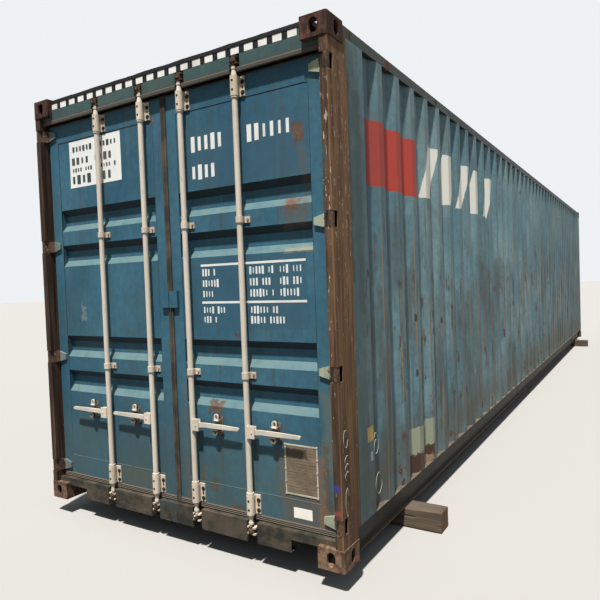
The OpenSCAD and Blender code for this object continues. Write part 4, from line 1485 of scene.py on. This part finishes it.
@dataclass
class DoorMarks:
    """Plain stencilled bars, a sign with plain bars and a blank label."""

    shop: Workshop
    tool: BarTool
    panel_depth: float = 74.0 * MM
    member_depth: float = 72.0 * MM
    thick: float = 0.6 * MM
    sign_y: Point2 = (0.405, 0.935)
    sign_z: Point2 = (2.253, 2.578)
    sign_curl: float = 1.2 * MM
    label_y: Point2 = (-0.990, -0.870)
    label_z: Point2 = (0.211, 0.270)
    label_curl: float = 0.4 * MM
    cells: int = 12
    seed: int = 11

    def row_points(self, row: MarkRow, depth: float, rng: random.Random) -> list[Vector]:
        """Middles of the marks of a row, with a wider space after every few marks.

        Args:
            row: The row.
            depth: Depth of the marks' middles.
            rng: Source of the spaces.

        Returns:
            The middles.
        """
        points = []
        y = row.start
        left = rng.randint(3, 6)
        while y - row.width >= row.end:
            points.append(self.shop.site.at(depth, y - row.width / 2.0, row.foot + row.height / 2.0))
            y -= row.width + row.gap
            left -= 1
            if left == 0:
                y -= 2.0 * row.gap + row.width * 0.5
                left = rng.randint(3, 6)
        return points

    def rows(self, name: str, rows: Iterable[MarkRow], side: Side, finish: bpy.types.Material,
             lift: float = 0.0) -> None:
        """Set several rows of marks.

        Args:
            name: Name of the pieces.
            rows: The rows.
            side: Door that they are on.
            finish: Their material.
            lift: Distance of the marks' backs before the panel.
        """
        rng = random.Random(self.seed)
        for i, row in enumerate(rows):
            depth = self.panel_depth - lift - self.thick / 2.0
            least = 0.40 if row.gap > 0.0 else 1.0
            points = self.row_points(row, depth, rng)
            size = (self.thick, row.width, row.height)
            piece = self.tool.marks(f"{name}_{i + 1}", points, size, (least, min(1.0, least + 0.25)), 20 + i,
                                    finish)
            self.shop.deliver(piece, side.door, Slot.WALL)

    def sheet(self, name: str, side: Side, ys: Point2, zs: Point2, depth: float,
              finish: bpy.types.Material, curl: float) -> None:
        """Add a thin sheet with slightly lifted corners.

        Args:
            name: Name of the piece.
            side: Door that it is on.
            ys: Lowest and highest Y.
            zs: Lowest and highest height.
            depth: Depth of its back.
            finish: Its material.
            curl: How far a corner stands off.
        """
        site = self.shop.site
        draft = Draft()
        rings = []
        for i in range(self.cells + 1):
            u = i / self.cells
            y = between(ys, i, self.cells)
            front, back = [], []
            for k in range(self.cells + 1):
                v = k / self.cells
                z = between(zs, k, self.cells)
                corner = (abs(2.0 * u - 1.0) * abs(2.0 * v - 1.0)) ** 6
                ripple = 0.3 * curl * (1.0 + wave(u * 3.0, v * 3.0, depth * 90.0))
                off = curl * corner + ripple
                front.append(site.at(depth - self.thick - off, y, z))
                back.append(site.at(depth - off, y, z))
            rings.append(front + list(reversed(back)))
        draft.loft(rings)
        self.shop.deliver(draft.finish(name, finish), side.door, Slot.WALL)

    def build(self) -> None:
        """Make the stencilled bars, the rules, the sign and the blank label."""
        white = self.shop.material(Marking("stencil_white", (0.74, 0.75, 0.73), (0.20, 0.28, 0.29), 0.35))
        vinyl = self.shop.material(Marking("sign_white", (0.78, 0.79, 0.78), (0.52, 0.50, 0.46), 0.3, 0.35))
        ink = self.shop.material(Marking("sign_ink", (0.030, 0.050, 0.045), (0.25, 0.27, 0.26), 0.3))
        label = self.shop.material(Marking("label_white", (0.84, 0.82, 0.74), (0.42, 0.36, 0.26), 0.3, 0.4))
        self.rows("door_stencil_row", stencil_rows(), Side.RIGHT, white)
        self.sheet("door_sign", Side.LEFT, self.sign_y, self.sign_z, self.panel_depth, vinyl, self.sign_curl)
        self.rows("door_sign_row", sign_rows(), Side.LEFT, ink, 2.0 * self.sign_curl)
        self.sheet("blank_label", Side.RIGHT, self.label_y, self.label_z, self.member_depth, label,
                   self.label_curl)


@dataclass
class DataPlate:
    """Bare metal data plate on the right door, with a turned rim and rivets."""

    shop: Workshop
    tool: HeadTool
    y: Point2 = (-1.033, -0.824)
    z: Point2 = (0.342, 0.622)
    depth: float = 74.0 * MM
    rim: float = 6.0 * MM
    thick: float = 2.2 * MM
    cells: int = 16
    buckle: float = 1.2 * MM
    buckle_limit: float = 0.8 * MM
    rim_rise: float = 1.4 * MM
    rim_bevel: float = 0.8 * MM
    stain_reach: float = 0.34
    stain_drop: float = 45.0 * MM
    rivet: Point2 = (4.6 * MM, 2.5 * MM)
    rivet_inset: float = 2.0 * MM
    rivet_steps: int = 4
    seed: int = 8

    def build(self) -> None:
        """Make the plate, its rim and its rivets."""
        site = self.shop.site
        x0, x1 = self.depth - self.thick, self.depth
        middle_y = sum(self.y) / 2.0
        # A dark band across the top left of the plate is a painted shadow of the handle above it.
        reach = (self.y[1] - self.y[0]) * self.stain_reach
        stain = Patch((0.0, middle_y + reach / 2.0, site.base_z + self.z[1] - self.stain_drop),
                      (0.0, reach, 0.026), (0.045, 0.033, 0.022), 0.85, 0.006, 0.01, 30.0)
        plate = Draft()
        rings = []
        for i in range(self.cells + 1):
            y = between(self.y, i, self.cells)
            front = []
            for k in range(self.cells + 1):
                z = between(self.z, k, self.cells)
                buckle = self.buckle * wave(y * 14.0, z * 14.0, 3.0)
                buckle = max(-self.buckle_limit, min(self.buckle_limit, buckle))
                front.append(site.at(x0 + buckle, y, z))
            rings.append(front + [site.at(x1, y, self.z[1]), site.at(x1, y, self.z[0])])
        plate.loft(rings)
        bronze = self.shop.material(Bronze("plate_bronze", patches=(stain,)))
        self.shop.deliver(plate.finish("data_plate", bronze), Side.RIGHT.door, Slot.FITTING)
        rim = Draft()
        front = x0 - self.rim_rise
        for low, high in self.rim_spans(self.y):
            rim.block(site.at(front, low, self.z[0]), site.at(x1, high, self.z[1]))
        for low, high in self.rim_spans(self.z):
            rim.block(site.at(front - 0.1 * MM, self.y[0], low), site.at(x1, self.y[1], high))
        pale = self.shop.material(Marking("rim_pale", (0.46, 0.42, 0.34), (0.15, 0.11, 0.07), 0.8, 0.5))
        self.shop.deliver(rim.finish("data_plate_rim", pale, self.rim_bevel), Side.RIGHT.door, Slot.FITTING)
        points = [site.at(front, y, between(self.z, i, self.rivet_steps))
                  for i in range(self.rivet_steps + 1)
                  for y in (self.y[0] + self.rivet_inset, self.y[1] - self.rivet_inset)]
        rivets = self.tool.heads("data_plate_rivets", points, self.rivet, FORWARD, self.seed, pale)
        self.shop.deliver(rivets, Side.RIGHT.door, Slot.FITTING)

    def rim_spans(self, ends: Point2) -> tuple[Point2, Point2]:
        """Width of the rim at both ends of a side of the plate."""
        half = self.rim / 2.0
        return (ends[0] - half, ends[0] + self.rim), (ends[1] - self.rim, ends[1] + half)


@dataclass
class ChalkMarks:
    """Loops and strokes of chalk on the side of the right post and on the wall beside it."""

    shop: Workshop
    tool: BeadTool
    size: Point3 = (0.9 * MM, 8.0 * MM, 1.2 * MM)
    steps: int = 40

    def curve(self, plane_y: float, middle: Point2, size: Point2, turns: float, lean: float) -> list[Vector]:
        """Points of a stroke that winds about a middle.

        Args:
            plane_y: Place of the surface.
            middle: Depth and height of the stroke's middle.
            size: Half its width and half its height.
            turns: How far it winds.
            lean: How much it drifts upwards as it winds.

        Returns:
            The points.
        """
        site = self.shop.site
        points = []
        for i in range(self.steps + 1):
            t = i / self.steps
            angle = math.tau * (0.12 + turns * t)
            shaky = 1.0 + 0.18 * wave(t * 5.0, middle[1] * 9.0, 0.0)
            depth = middle[0] + size[0] * math.cos(angle) * shaky
            height = middle[1] + size[1] * math.sin(angle) * shaky + lean * (t - 0.5)
            points.append(site.at(depth, plane_y, height))
        return points

    def build(self) -> None:
        """Draw the strokes."""
        outer = -self.shop.site.half_w
        wall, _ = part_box("right_side_wall")
        strokes = [self.curve(outer, (0.055, 0.700), (0.024, 0.050), 0.85, 0.0),
                   self.curve(outer, (0.060, 0.545), (0.020, 0.012), 2.6, -0.110),
                   self.curve(outer, (0.058, 0.360), (0.022, 0.095), 0.62, 0.060),
                   self.curve(wall.y, (0.455, 0.560), (0.030, 0.050), 1.3, 0.050),
                   self.curve(wall.y, (0.475, 0.330), (0.042, 0.060), 0.9, 0.0)]
        points: list[Vector] = []
        edges: list[tuple[int, int]] = []
        for stroke in strokes:
            first = len(points)
            points += stroke
            edges += [(i, i + 1) for i in range(first, first + len(stroke) - 1)]
        chalk = self.shop.material(Marking("chalk", (0.60, 0.57, 0.50), (0.26, 0.20, 0.15), 0.7, 0.9))
        piece = self.tool.bead("chalk_marks", points, edges, self.size, chalk)
        self.shop.deliver(piece, "container", Slot.FRAME)


@dataclass
class Sleepers:
    """Two rough timbers with rounded arrises, dents and splits at their ends."""

    shop: Workshop
    step: float = 0.04
    arris: float = 9.0 * MM
    rough: float = 2.2 * MM
    split_depth: float = 5.0 * MM
    split_from: float = 0.45
    top_share: float = 0.35
    end_shrink: float = 4.0 * MM
    width: float = 150.0 * MM
    per_side: int = 10

    def ring(self, x: Point2, z: Point2, y: float, seed: float, shrink: float) -> list[Vector]:
        """Outline of a timber at one place along it.

        Args:
            x: Lowest and highest X.
            z: Lowest and highest Z.
            y: Place along the timber.
            seed: Shift of the noise.
            shrink: How far the outline is drawn in.

        Returns:
            Points around the timber.
        """
        a = self.arris
        flats = [((x[0] + a, z[0]), (x[1] - a, z[0])), ((x[1], z[0] + a), (x[1], z[1] - a)),
                 ((x[1] - a, z[1]), (x[0] + a, z[1])), ((x[0], z[1] - a), (x[0], z[0] + a))]
        middle = Vector((sum(x) / 2.0, sum(z) / 2.0))
        points = []
        for first, last in flats:
            for k in range(self.per_side + 1):
                px = between((first[0], last[0]), k, self.per_side)
                pz = between((first[1], last[1]), k, self.per_side)
                pull = shrink + self.rough * (0.5 + 0.5 * wave(px * 30.0, y * 4.0 + seed, pz * 30.0))
                if wave(px * 60.0 + seed, y * 1.5, pz * 60.0) > self.split_from:
                    pull += self.split_depth
                away = (Vector((px, pz)) - middle).normalized()
                flat = pz >= z[1] - 1e-6 or pz <= z[0] + 1e-6
                dx = 0.0 if flat else away.x * pull
                dz = away.y * pull * self.top_share if flat else 0.0
                points.append(Vector((px - dx, y, pz - dz)))
        return points

    def build(self) -> None:
        """Model the timbers in place of the plain ones."""
        low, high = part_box("timber_sleepers")
        draft = Draft()
        for x in ((low.x, low.x + self.width), (high.x - self.width, high.x)):
            count = round((high.y - low.y) / self.step)
            rings = []
            for i in range(count + 1):
                shrink = self.end_shrink if i in (0, count) else 0.0
                y = between((low.y, high.y), i, count)
                rings.append(self.ring(x, (low.z, high.z), y, x[0], shrink))
            draft.loft(rings)
        finish = self.shop.material(Timber("sleeper_wood"))
        piece = draft.finish("sleepers", finish)
        self.shop.deliver(piece, "container", Slot.TIMBER, "timber_sleepers")


@dataclass
class FloorScrews:
    """Rows of screws that hold the plywood to the cross members."""

    shop: Workshop
    tool: HeadTool
    rows: int = 12
    pitch: float = 0.305
    first: float = 22.0 * MM
    head: Point2 = (5.0 * MM, 1.6 * MM)
    near_edge: float = 0.05
    far_edge: float = 0.25
    side_edge: float = 0.06
    seed: int = 4

    def build(self) -> None:
        """Set the screws."""
        low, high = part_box("plywood_floor")
        first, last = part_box("cross_members")
        points = []
        for i in range(round((last.x - first.x) / self.pitch)):
            x = first.x + self.first + i * self.pitch
            if not low.x + self.near_edge <= x <= high.x - self.far_edge:
                continue
            for k in range(self.rows):
                y = between((low.y + self.side_edge, high.y - self.side_edge), k, self.rows - 1)
                points.append(Vector((x, y, high.z)))
        steel = self.shop.material(RustedSteel("screw_rust", (0.05, 0.035, 0.025), (0.12, 0.07, 0.04),
                                               (0.3, 0.27, 0.23), (0.2, 0.18, 0.15), 0.2, 0.4,
                                               (80.0, 80.0, 80.0)))
        piece = self.tool.heads("floor_screws", points, self.head, UPWARD, self.seed, steel)
        self.shop.deliver(piece, "container", Slot.FLOOR)


REPAINT = (0.035, 0.090, 0.135)
RED_BROWN = (0.115, 0.062, 0.040)
BROWN = (0.110, 0.080, 0.050)
BLOCK_RED = (0.450, 0.060, 0.040)
BLOCK_WHITE = (0.800, 0.780, 0.710)

# Repainted, rusted and scuffed places on the doors.
# Each row has the place across and up, half the width and height, and the look of a patch.
DOOR_SPOTS = (
    (0.0, 0.330, 1.250, 0.300, (0.062, 0.084, 0.066), 0.42, 0.240, 0.060, 5.0),
    (-0.595, 2.292, 0.455, 0.175, REPAINT, 0.55, 0.004, 0.006),
    (-0.595, 1.480, 0.410, 0.213, REPAINT, 0.55, 0.004, 0.006),
    (-0.985, 2.33, 0.035, 0.060, RED_BROWN, 0.85, 0.012, 0.022, 24.0, True),
    (-1.010, 2.05, 0.022, 0.200, BROWN, 0.45, 0.020, 0.020, 18.0),
    (-0.925, 1.955, 0.045, 0.032, RED_BROWN, 0.85, 0.010, 0.020, 24.0, True),
    (-0.940, 1.890, 0.070, 0.060, BROWN, 0.45, 0.025, 0.025, 18.0),
    (-0.960, 1.705, 0.090, 0.012, (0.30, 0.24, 0.15), 0.60, 0.010, 0.010, 24.0),
    (-0.520, 1.228, 0.016, 0.013, RED_BROWN, 0.80, 0.008, 0.010, 40.0, True),
    (-0.383, 1.030, 0.010, 0.010, RED_BROWN, 0.60, 0.006, 0.006, 40.0, True),
    (-0.330, 0.785, 0.052, 0.036, RED_BROWN, 0.85, 0.010, 0.026, 26.0, True),
    (-0.210, 0.360, 0.020, 0.050, BROWN, 0.60, 0.012, 0.020, 22.0, True),
    (-0.300, 0.300, 0.030, 0.045, BROWN, 0.60, 0.012, 0.020, 22.0, True),
    (-0.930, 0.320, 0.130, 0.020, RED_BROWN, 0.55, 0.008, 0.020, 22.0, True),
    (-0.950, 0.240, 0.150, 0.070, (0.098, 0.080, 0.060), 0.65, 0.035, 0.030, 12.0),
    (-1.060, 0.380, 0.026, 0.200, (0.170, 0.105, 0.062), 0.70, 0.012, 0.012, 18.0),
    (-1.120, 0.700, 0.045, 0.220, (0.140, 0.140, 0.095), 0.45, 0.030, 0.030, 10.0),
    (-0.480, 0.185, 0.050, 0.022, RED_BROWN, 0.65, 0.010, 0.014, 30.0, True),
    (-0.800, 0.450, 0.035, 0.120, (0.120, 0.095, 0.062), 0.50, 0.020, 0.020, 18.0),
    (-0.090, 0.500, 0.025, 0.420, (0.120, 0.085, 0.055), 0.35, 0.025, 0.025, 14.0),
    (0.330, 0.250, 0.200, 0.060, (0.100, 0.085, 0.060), 0.40, 0.035, 0.030, 12.0),
    (-1.090, 0.460, 0.020, 0.200, BROWN, 0.55, 0.012, 0.020, 18.0, True),
    (0.860, 1.36, 0.020, 0.050, (0.20, 0.26, 0.27), 0.5, 0.006, 0.030, 30.0),
)

# Places on the right side wall: soiled foot, sticker, label, pale repaint, torn corner, rust and shadows.
# Each row has the place along and up, half the length and height, and the look of a patch.
WALL_SPOTS = (
    (6.096, 0.330, 6.2, 0.180, (0.085, 0.070, 0.046), 0.55, 0.200, 0.080, 6.0),
    (0.380, 0.642, 0.040, 0.042, (0.75, 0.52, 0.13), 0.95, 0.002, 0.002, 40.0),
    (0.392, 0.512, 0.013, 0.026, (0.66, 0.68, 0.66), 0.8, 0.002, 0.006, 90.0),
    (1.264, 0.388, 0.246, 0.100, (0.34, 0.37, 0.27), 0.80, 0.004, 0.012),
    (1.270, 0.240, 0.225, 0.062, (0.062, 0.032, 0.022), 0.97, 0.006, 0.030, 20.0),
    (1.400, 0.205, 0.075, 0.026, (0.34, 0.24, 0.16), 0.80, 0.006, 0.020, 30.0),
    (1.330, 0.640, 0.050, 0.440, (0.120, 0.075, 0.045), 0.85, 0.020, 0.035, 9.0, True),
    (0.330, 0.900, 0.110, 0.110, (0.110, 0.165, 0.180), 0.45, 0.02, 0.03),
    (0.215, 2.080, 0.034, 0.560, (0.056, 0.043, 0.033), 0.80, 0.020, 0.020),
    (0.330, 1.950, 0.040, 0.620, (0.060, 0.060, 0.048), 0.55, 0.030, 0.030),
    (0.170, 1.300, 0.200, 1.500, (0.046, 0.072, 0.062), 0.45, 0.060, 0.060),
    (2.900, 1.050, 0.900, 0.420, (0.070, 0.062, 0.048), 0.35, 0.200, 0.100),
    (0.330, 1.300, 0.300, 1.500, (0.036, 0.062, 0.070), 0.34, 0.150, 0.040),
)

# A plain red block and slanted bars; rows as above, with the slant at the end.
BLOCK = (0.893, 2.278, 0.386, 0.195, BLOCK_RED, 0.96, 0.003, 0.004, 20.0)
BAR_SPAN = (1.366, 3.534)
BAR_COUNT = 5
BAR_PITCH = (BAR_SPAN[1] - BAR_SPAN[0]) / BAR_COUNT
BARS = tuple((BAR_SPAN[0] + (i + 0.5) * BAR_PITCH, 2.305, BAR_PITCH * 0.27, 0.200, BLOCK_WHITE, 0.94, 0.003,
              0.004, 20.0, False, 0.35) for i in range(BAR_COUNT))


@dataclass(frozen=True)
class Teal:
    """The container's own paint in its lights and darks: the side copies are brightened as painted light,
    and the darkest tone is painted shade as well as grime.
    """

    base: Colour = (0.026, 0.093, 0.145)
    faded: Colour = (0.046, 0.138, 0.200)
    chalk: Colour = (0.104, 0.176, 0.186)
    # Painted shade on faces that look down, and grime in the mottle.
    grime: Colour = (0.004, 0.011, 0.017)
    # Brightened copies of the teal for the side and end walls: painted light.
    side_base: Colour = (0.112, 0.222, 0.272)
    side_faded: Colour = (0.205, 0.325, 0.360)


class Dresser:
    """Gives every node of the frame its finish."""

    def __init__(self, shop: Workshop, nodes: dict[str, bpy.types.Object]) -> None:
        """Keep the workshop and the nodes.

        Args:
            shop: Workshop that holds the materials.
            nodes: Objects of the CAD nodes by name.
        """
        self.shop = shop
        self.nodes = nodes
        self.teal = Teal()

    def paint(self, finish: Finish, *names: str) -> None:
        """Put one finish on several nodes.

        Args:
            finish: The finish.
            names: Names of the nodes.
        """
        material = self.shop.material(finish)
        for name in names:
            mesh = self.nodes[name].data
            mesh.materials.clear()
            mesh.materials.append(material)
            LOG.info("%s painted with %s", name, material.name)

    def door_patches(self, rows: Iterable[tuple]) -> tuple[Patch, ...]:
        """Patches on faces across the container, from rows of numbers.

        Args:
            rows: Place across and up, half sizes, and the look of a patch.

        Returns:
            The patches.
        """
        base = self.shop.site.base_z
        return tuple(Patch((0.0, y, base + z), (0.0, half_y, half_z), *look)
                     for y, z, half_y, half_z, *look in rows)

    def wall_patches(self, rows: Iterable[tuple]) -> tuple[Patch, ...]:
        """Patches on a side wall, from rows of numbers.

        Args:
            rows: Place along and up, half sizes, and the look of a patch.

        Returns:
            The patches.
        """
        site = self.shop.site
        return tuple(Patch((site.door_x + x, 0.0, site.base_z + z), (half_x, 0.0, half_z), *look)
                     for x, z, half_x, half_z, *look in rows)

    def dress(self) -> None:
        """Give every node its finish."""
        teal = self.teal
        site = self.shop.site
        door = AgedPaint("door_paint", teal.base, teal.faded, teal.chalk, teal.grime, rust_share=0.14,
                         streaks=0.20, dark_streaks=0.50, stain=(0.040, 0.080, 0.090), stains=0.55,
                         patches=self.door_patches(DOOR_SPOTS))
        self.paint(door, "left_door_frame", "right_door_frame", "left_door_panel", "right_door_panel")
        tone = dict(base=(0.036, 0.078, 0.082), faded=(0.062, 0.104, 0.100), chalk=(0.110, 0.150, 0.140),
                    grime=teal.grime, rust_share=0.30, rust_grain=12.0, streaks=0.1, dark_streaks=0.45)
        lip = Patch((0.0, 0.0, site.base_z + 2.737), (0.0, 0.0, 0.020), (0.066, 0.053, 0.043), 0.85, 0.006,
                    0.008)
        self.paint(AgedPaint("header_paint", patches=(lip,), **tone), "door_header")
        self.paint(AgedPaint("far_end_paint", **tone), "far_end_header", "far_end_sill", "far_end_left_post",
                   "far_end_right_post")
        xs = self.wall_edges()
        # The side walls take the brightened side copies of the teal: painted light.
        wall = dict(base=teal.side_base, faded=teal.side_faded, chalk=(0.22, 0.27, 0.26), grime=teal.grime,
                    rust_share=0.20, rust_grain=9.0, streaks=0.38, dark_streaks=0.66, low_rust=0.07,
                    low_height=0.9, first_edge=xs[0], pitch=xs[1])
        patches = self.wall_patches((BLOCK, *BARS, *WALL_SPOTS))
        self.paint(WallPaint("right_wall_paint", patches=patches, **wall), "right_side_wall")
        self.paint(WallPaint("left_wall_paint", **wall), "left_side_wall")
        # The far end wall also takes the brightened side copies of the teal: painted light.
        self.paint(AgedPaint("end_wall_paint", teal.side_base, teal.side_faded, teal.chalk, teal.grime,
                             rust_share=0.22, streaks=0.3, dark_streaks=0.5), "far_end_wall")
        roof = AgedPaint("roof_paint", (0.070, 0.105, 0.110), (0.120, 0.150, 0.145),
                         (0.125, 0.150, 0.140), teal.grime, rust_share=0.42, rust_grain=4.0, streaks=0.1,
                         dark_streaks=0.3)
        self.paint(roof, "roof_panel")
        rail = AgedPaint("top_rail_paint", (0.040, 0.052, 0.050), (0.070, 0.080, 0.072),
                         (0.062, 0.060, 0.050), teal.grime, rust_share=0.42, rust_grain=8.0, streaks=0.25)
        self.paint(rail, "left_top_rail", "right_top_rail")
        under = AgedPaint("underframe_paint", (0.020, 0.021, 0.018), (0.037, 0.033, 0.026),
                          (0.15, 0.115, 0.080), (0.008, 0.009, 0.009), rust_share=0.24, rust_grain=10.0,
                          streaks=0.12)
        self.paint(under, "left_bottom_rail", "right_bottom_rail", "cross_members", "gooseneck_tunnel")
        self.paint_frame()
        self.paint_gear()
        self.paint(Plywood("floor_plywood"), "plywood_floor")
        LOG.info("door end at %.3f, roof at %.3f", site.door_x, site.top_z)

    def wall_edges(self) -> tuple[float, float]:
        """First crest edge and pitch of the side wall, read from its mesh.

        Returns:
            X of the edge and the pitch, in metres.
        """
        mesh = self.nodes["right_side_wall"].data
        low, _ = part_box("right_side_wall")
        xs = sorted({round(v.co.x, 4) for v in mesh.vertices if abs(v.co.y - low.y) < 1.0e-4})
        return xs[1], xs[3] - xs[1]

    def paint_frame(self) -> None:
        """Rusted posts, castings and sill."""
        marks = self.door_patches((
            (-1.215, 0.420, 0.040, 0.260, (0.040, 0.027, 0.020), 0.50, 0.160, 0.030),
            (-1.185, 0.440, 0.020, 0.018, (0.045, 0.050, 0.200), 0.8, 0.004, 0.01, 40.0),
            (-1.185, 0.310, 0.020, 0.010, (0.260, 0.060, 0.060), 0.8, 0.004, 0.01, 40.0),
        ))
        # The right post's outer side face is brightened with warm rust: painted highlight.
        post = RustedSteel("right_post_rust", (0.050, 0.030, 0.020), (0.150, 0.088, 0.052),
                           (0.50, 0.45, 0.39), (0.060, 0.080, 0.080), 0.06, 0.62, (48.0, 48.0, 1.8),
                           (64.0, 64.0, 15.0), marks, 1.1, 0.46)
        self.paint(post, "door_end_right_post")
        # The left post takes a darker copy of the post's rust: painted shade.
        post = RustedSteel("left_post_rust", (0.024, 0.016, 0.013), (0.090, 0.056, 0.038),
                           (0.24, 0.20, 0.17), (0.040, 0.055, 0.055), 0.10, 0.25, (48.0, 48.0, 1.5))
        self.paint(post, "door_end_left_post")
        casting = RustedSteel("top_casting_rust", (0.026, 0.015, 0.012), (0.110, 0.055, 0.036),
                              (0.26, 0.20, 0.16), (0.045, 0.050, 0.050), 0.05, 0.30, (30.0, 30.0, 16.0),
                              (50.0, 50.0, 50.0))
        self.paint(casting, "top_corner_fittings")
        casting = RustedSteel("low_casting_rust", (0.072, 0.045, 0.031), (0.235, 0.150, 0.098),
                              (0.42, 0.36, 0.28), (0.10, 0.10, 0.09), 0.10, 0.35, (26.0, 26.0, 20.0),
                              (50.0, 50.0, 50.0))
        self.paint(casting, "bottom_corner_fittings")
        sill = RustedSteel("sill_rust", (0.027, 0.027, 0.023), (0.094, 0.076, 0.056), (0.22, 0.17, 0.125),
                           (0.045, 0.055, 0.050), 0.40, 0.35, (7.0, 7.0, 9.0), (30.0, 30.0, 30.0))
        self.paint(sill, "door_sill")

    def paint_gear(self) -> None:
        """Pale paint on the door gear."""
        base = self.shop.site.base_z
        rods = FittingPaint("rod_paint", (0.66, 0.59, 0.50), (0.54, 0.48, 0.40), high=base + 2.76,
                            high_fade=0.02, low=base + 0.13, low_fade=0.04, rust_share=0.08, end_rust=0.34)
        names = [f"{place}_{side}" for place in ("outer", "inner") for side in ("left", "right")]
        self.paint(rods, *(f"{name}_lock_rod" for name in names))
        self.paint(FittingPaint("handle_paint", (0.62, 0.57, 0.49), (0.45, 0.42, 0.36), rust_share=0.20),
                   *(f"{name}_{kind}" for name in names for kind in ("handle", "catch")))
        self.paint(FittingPaint("bearing_paint", (0.66, 0.58, 0.48), (0.50, 0.42, 0.33), rust_share=0.22),
                   "left_door_brackets", "right_door_brackets")
        dark = FittingPaint("retainer_paint", (0.20, 0.18, 0.15), (0.09, 0.072, 0.055), (0.05, 0.04, 0.03),
                            rust_share=0.4)
        self.paint(dark, "left_handle_retainers", "right_handle_retainers")
        keeper = FittingPaint("keeper_paint", (0.60, 0.54, 0.45), (0.42, 0.36, 0.28), rust_share=0.28,
                              end_rust=0.40, high=base + 2.3, high_fade=0.2)
        self.paint(keeper, "rod_keepers")
        # The left blades take a darker copy of the blade paint: painted shade, as on the left post.
        for side, base_tone, worn in ((Side.RIGHT, (0.36, 0.40, 0.31), (0.24, 0.27, 0.20)),
                                      (Side.LEFT, (0.17, 0.20, 0.19), (0.10, 0.12, 0.12))):
            blade = FittingPaint(f"{side.word}_blade_paint", base_tone, worn, (0.10, 0.11, 0.09),
                                 rust_share=0.25, end_rust=0.34, outer=1.135)
            self.paint(blade, f"{side.word}_hinge_blades")


@dataclass
class Studio:
    """Plain floor, soft light and the camera at the photograph's place."""

    lens: float = 33.859
    sensor: float = 36.0
    eye: Point3 = (-8.64023, -2.57626, 1.64485)
    right: Point3 = (0.524358, -0.850729, -0.036178)
    down: Point3 = (-0.047131, 0.013425, -0.998799)
    ahead: Point3 = (0.850193, 0.525433, -0.033056)
    sun: Point3 = (-0.375, -0.107, 0.921)
    sun_energy: float = 6.9
    sun_angle: float = 2.5
    sky: Colour = (0.84, 0.92, 1.0)
    sky_strength: float = 0.30
    backdrop: Colour = (0.86, 0.88, 0.90)
    floor_colour: Colour = (0.37, 0.365, 0.355)
    floor_bounce: Colour = (0.11, 0.105, 0.095)
    floor_radius: float = 90.0
    floor_sides: int = 64
    farthest: float = 400.0
    sun_colour: Colour = (1.0, 0.965, 0.91)

    def camera(self) -> None:
        """Place the camera."""
        data = bpy.data.cameras.new("camera")
        data.lens = self.lens
        data.sensor_width = self.sensor
        data.clip_end = self.farthest
        camera = bpy.data.objects.new("camera", data)
        axes = Matrix((self.right, tuple(-v for v in self.down), tuple(-v for v in self.ahead))).transposed()
        camera.matrix_world = Matrix.Translation(self.eye) @ axes.to_4x4()
        bpy.context.scene.collection.objects.link(camera)
        bpy.context.scene.camera = camera

    def lamps(self) -> None:
        """Place the sun lamp and light the world."""
        data = bpy.data.lights.new("key", "SUN")
        data.energy = self.sun_energy
        data.angle = math.radians(self.sun_angle)
        data.color = self.sun_colour
        lamp = bpy.data.objects.new("key", data)
        lamp.rotation_euler = Vector(self.sun).to_track_quat("Z", "Y").to_euler()
        bpy.context.scene.collection.objects.link(lamp)
        world = bpy.data.worlds.new("studio")
        world.use_nodes = True
        bpy.context.scene.world = world
        sky = Tree(world.node_tree)
        sky.tree.nodes.clear()
        rays = sky.node("ShaderNodeLightPath").outputs
        seen = sky.either(*(rays[f"Is {kind} Ray"] for kind in ("Camera", "Transmission", "Glossy")))
        light = sky.node("ShaderNodeBackground", Color=self.sky, Strength=self.sky_strength)
        back = sky.node("ShaderNodeBackground", Color=self.backdrop)
        mix = sky.node("ShaderNodeMixShader")
        for value, socket in zip((seen, light.outputs[0], back.outputs[0]), mix.inputs):
            sky.join(value, socket)
        sky.node("ShaderNodeOutputWorld", Surface=mix.outputs[0])

    def floor(self) -> None:
        """Lay the floor, pale to the eye and darker in what it throws back."""
        draft = Draft()
        bmesh.ops.create_circle(draft.bm, cap_ends=True, segments=self.floor_sides, radius=self.floor_radius)
        graph = Graph("studio_floor")
        rays = graph.node("ShaderNodeLightPath").outputs
        seen = graph.either(*(rays[f"Is {kind} Ray"] for kind in ("Camera", "Glossy", "Transmission")))
        graph.surface(graph.blend(seen, self.floor_bounce, self.floor_colour), 0.9, 0.2)
        draft.finish("studio_floor", graph.material)

    def build(self) -> None:
        """Set up the studio."""
        bpy.context.scene.view_settings.view_transform = "Standard"
        self.camera()
        self.lamps()
        self.floor()
        LOG.info("studio is set")


def main() -> None:
    """Build the studio, dress the frame and add the small pieces."""
    logging.basicConfig(level=logging.INFO, format="%(name)s: %(message)s")
    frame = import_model()
    site = Site.read()
    shop = Workshop(site)
    Studio().build()
    Dresser(shop, frame["nodes"]).dress()
    heads, bars, beads = HeadTool(), BarTool(), BeadTool()
    for side in Side:
        DoorSeal(shop, side).build()
        DoorGearBolts(shop, side, heads).build()
        PanelBead(shop, side, beads).build()
    HeaderMarks(shop, bars).build()
    DoorMarks(shop, bars).build()
    DataPlate(shop, heads).build()
    ChalkMarks(shop, beads).build()
    Sleepers(shop).build()
    FloorScrews(shop, heads).build()


if __name__ == "__main__":
    main()
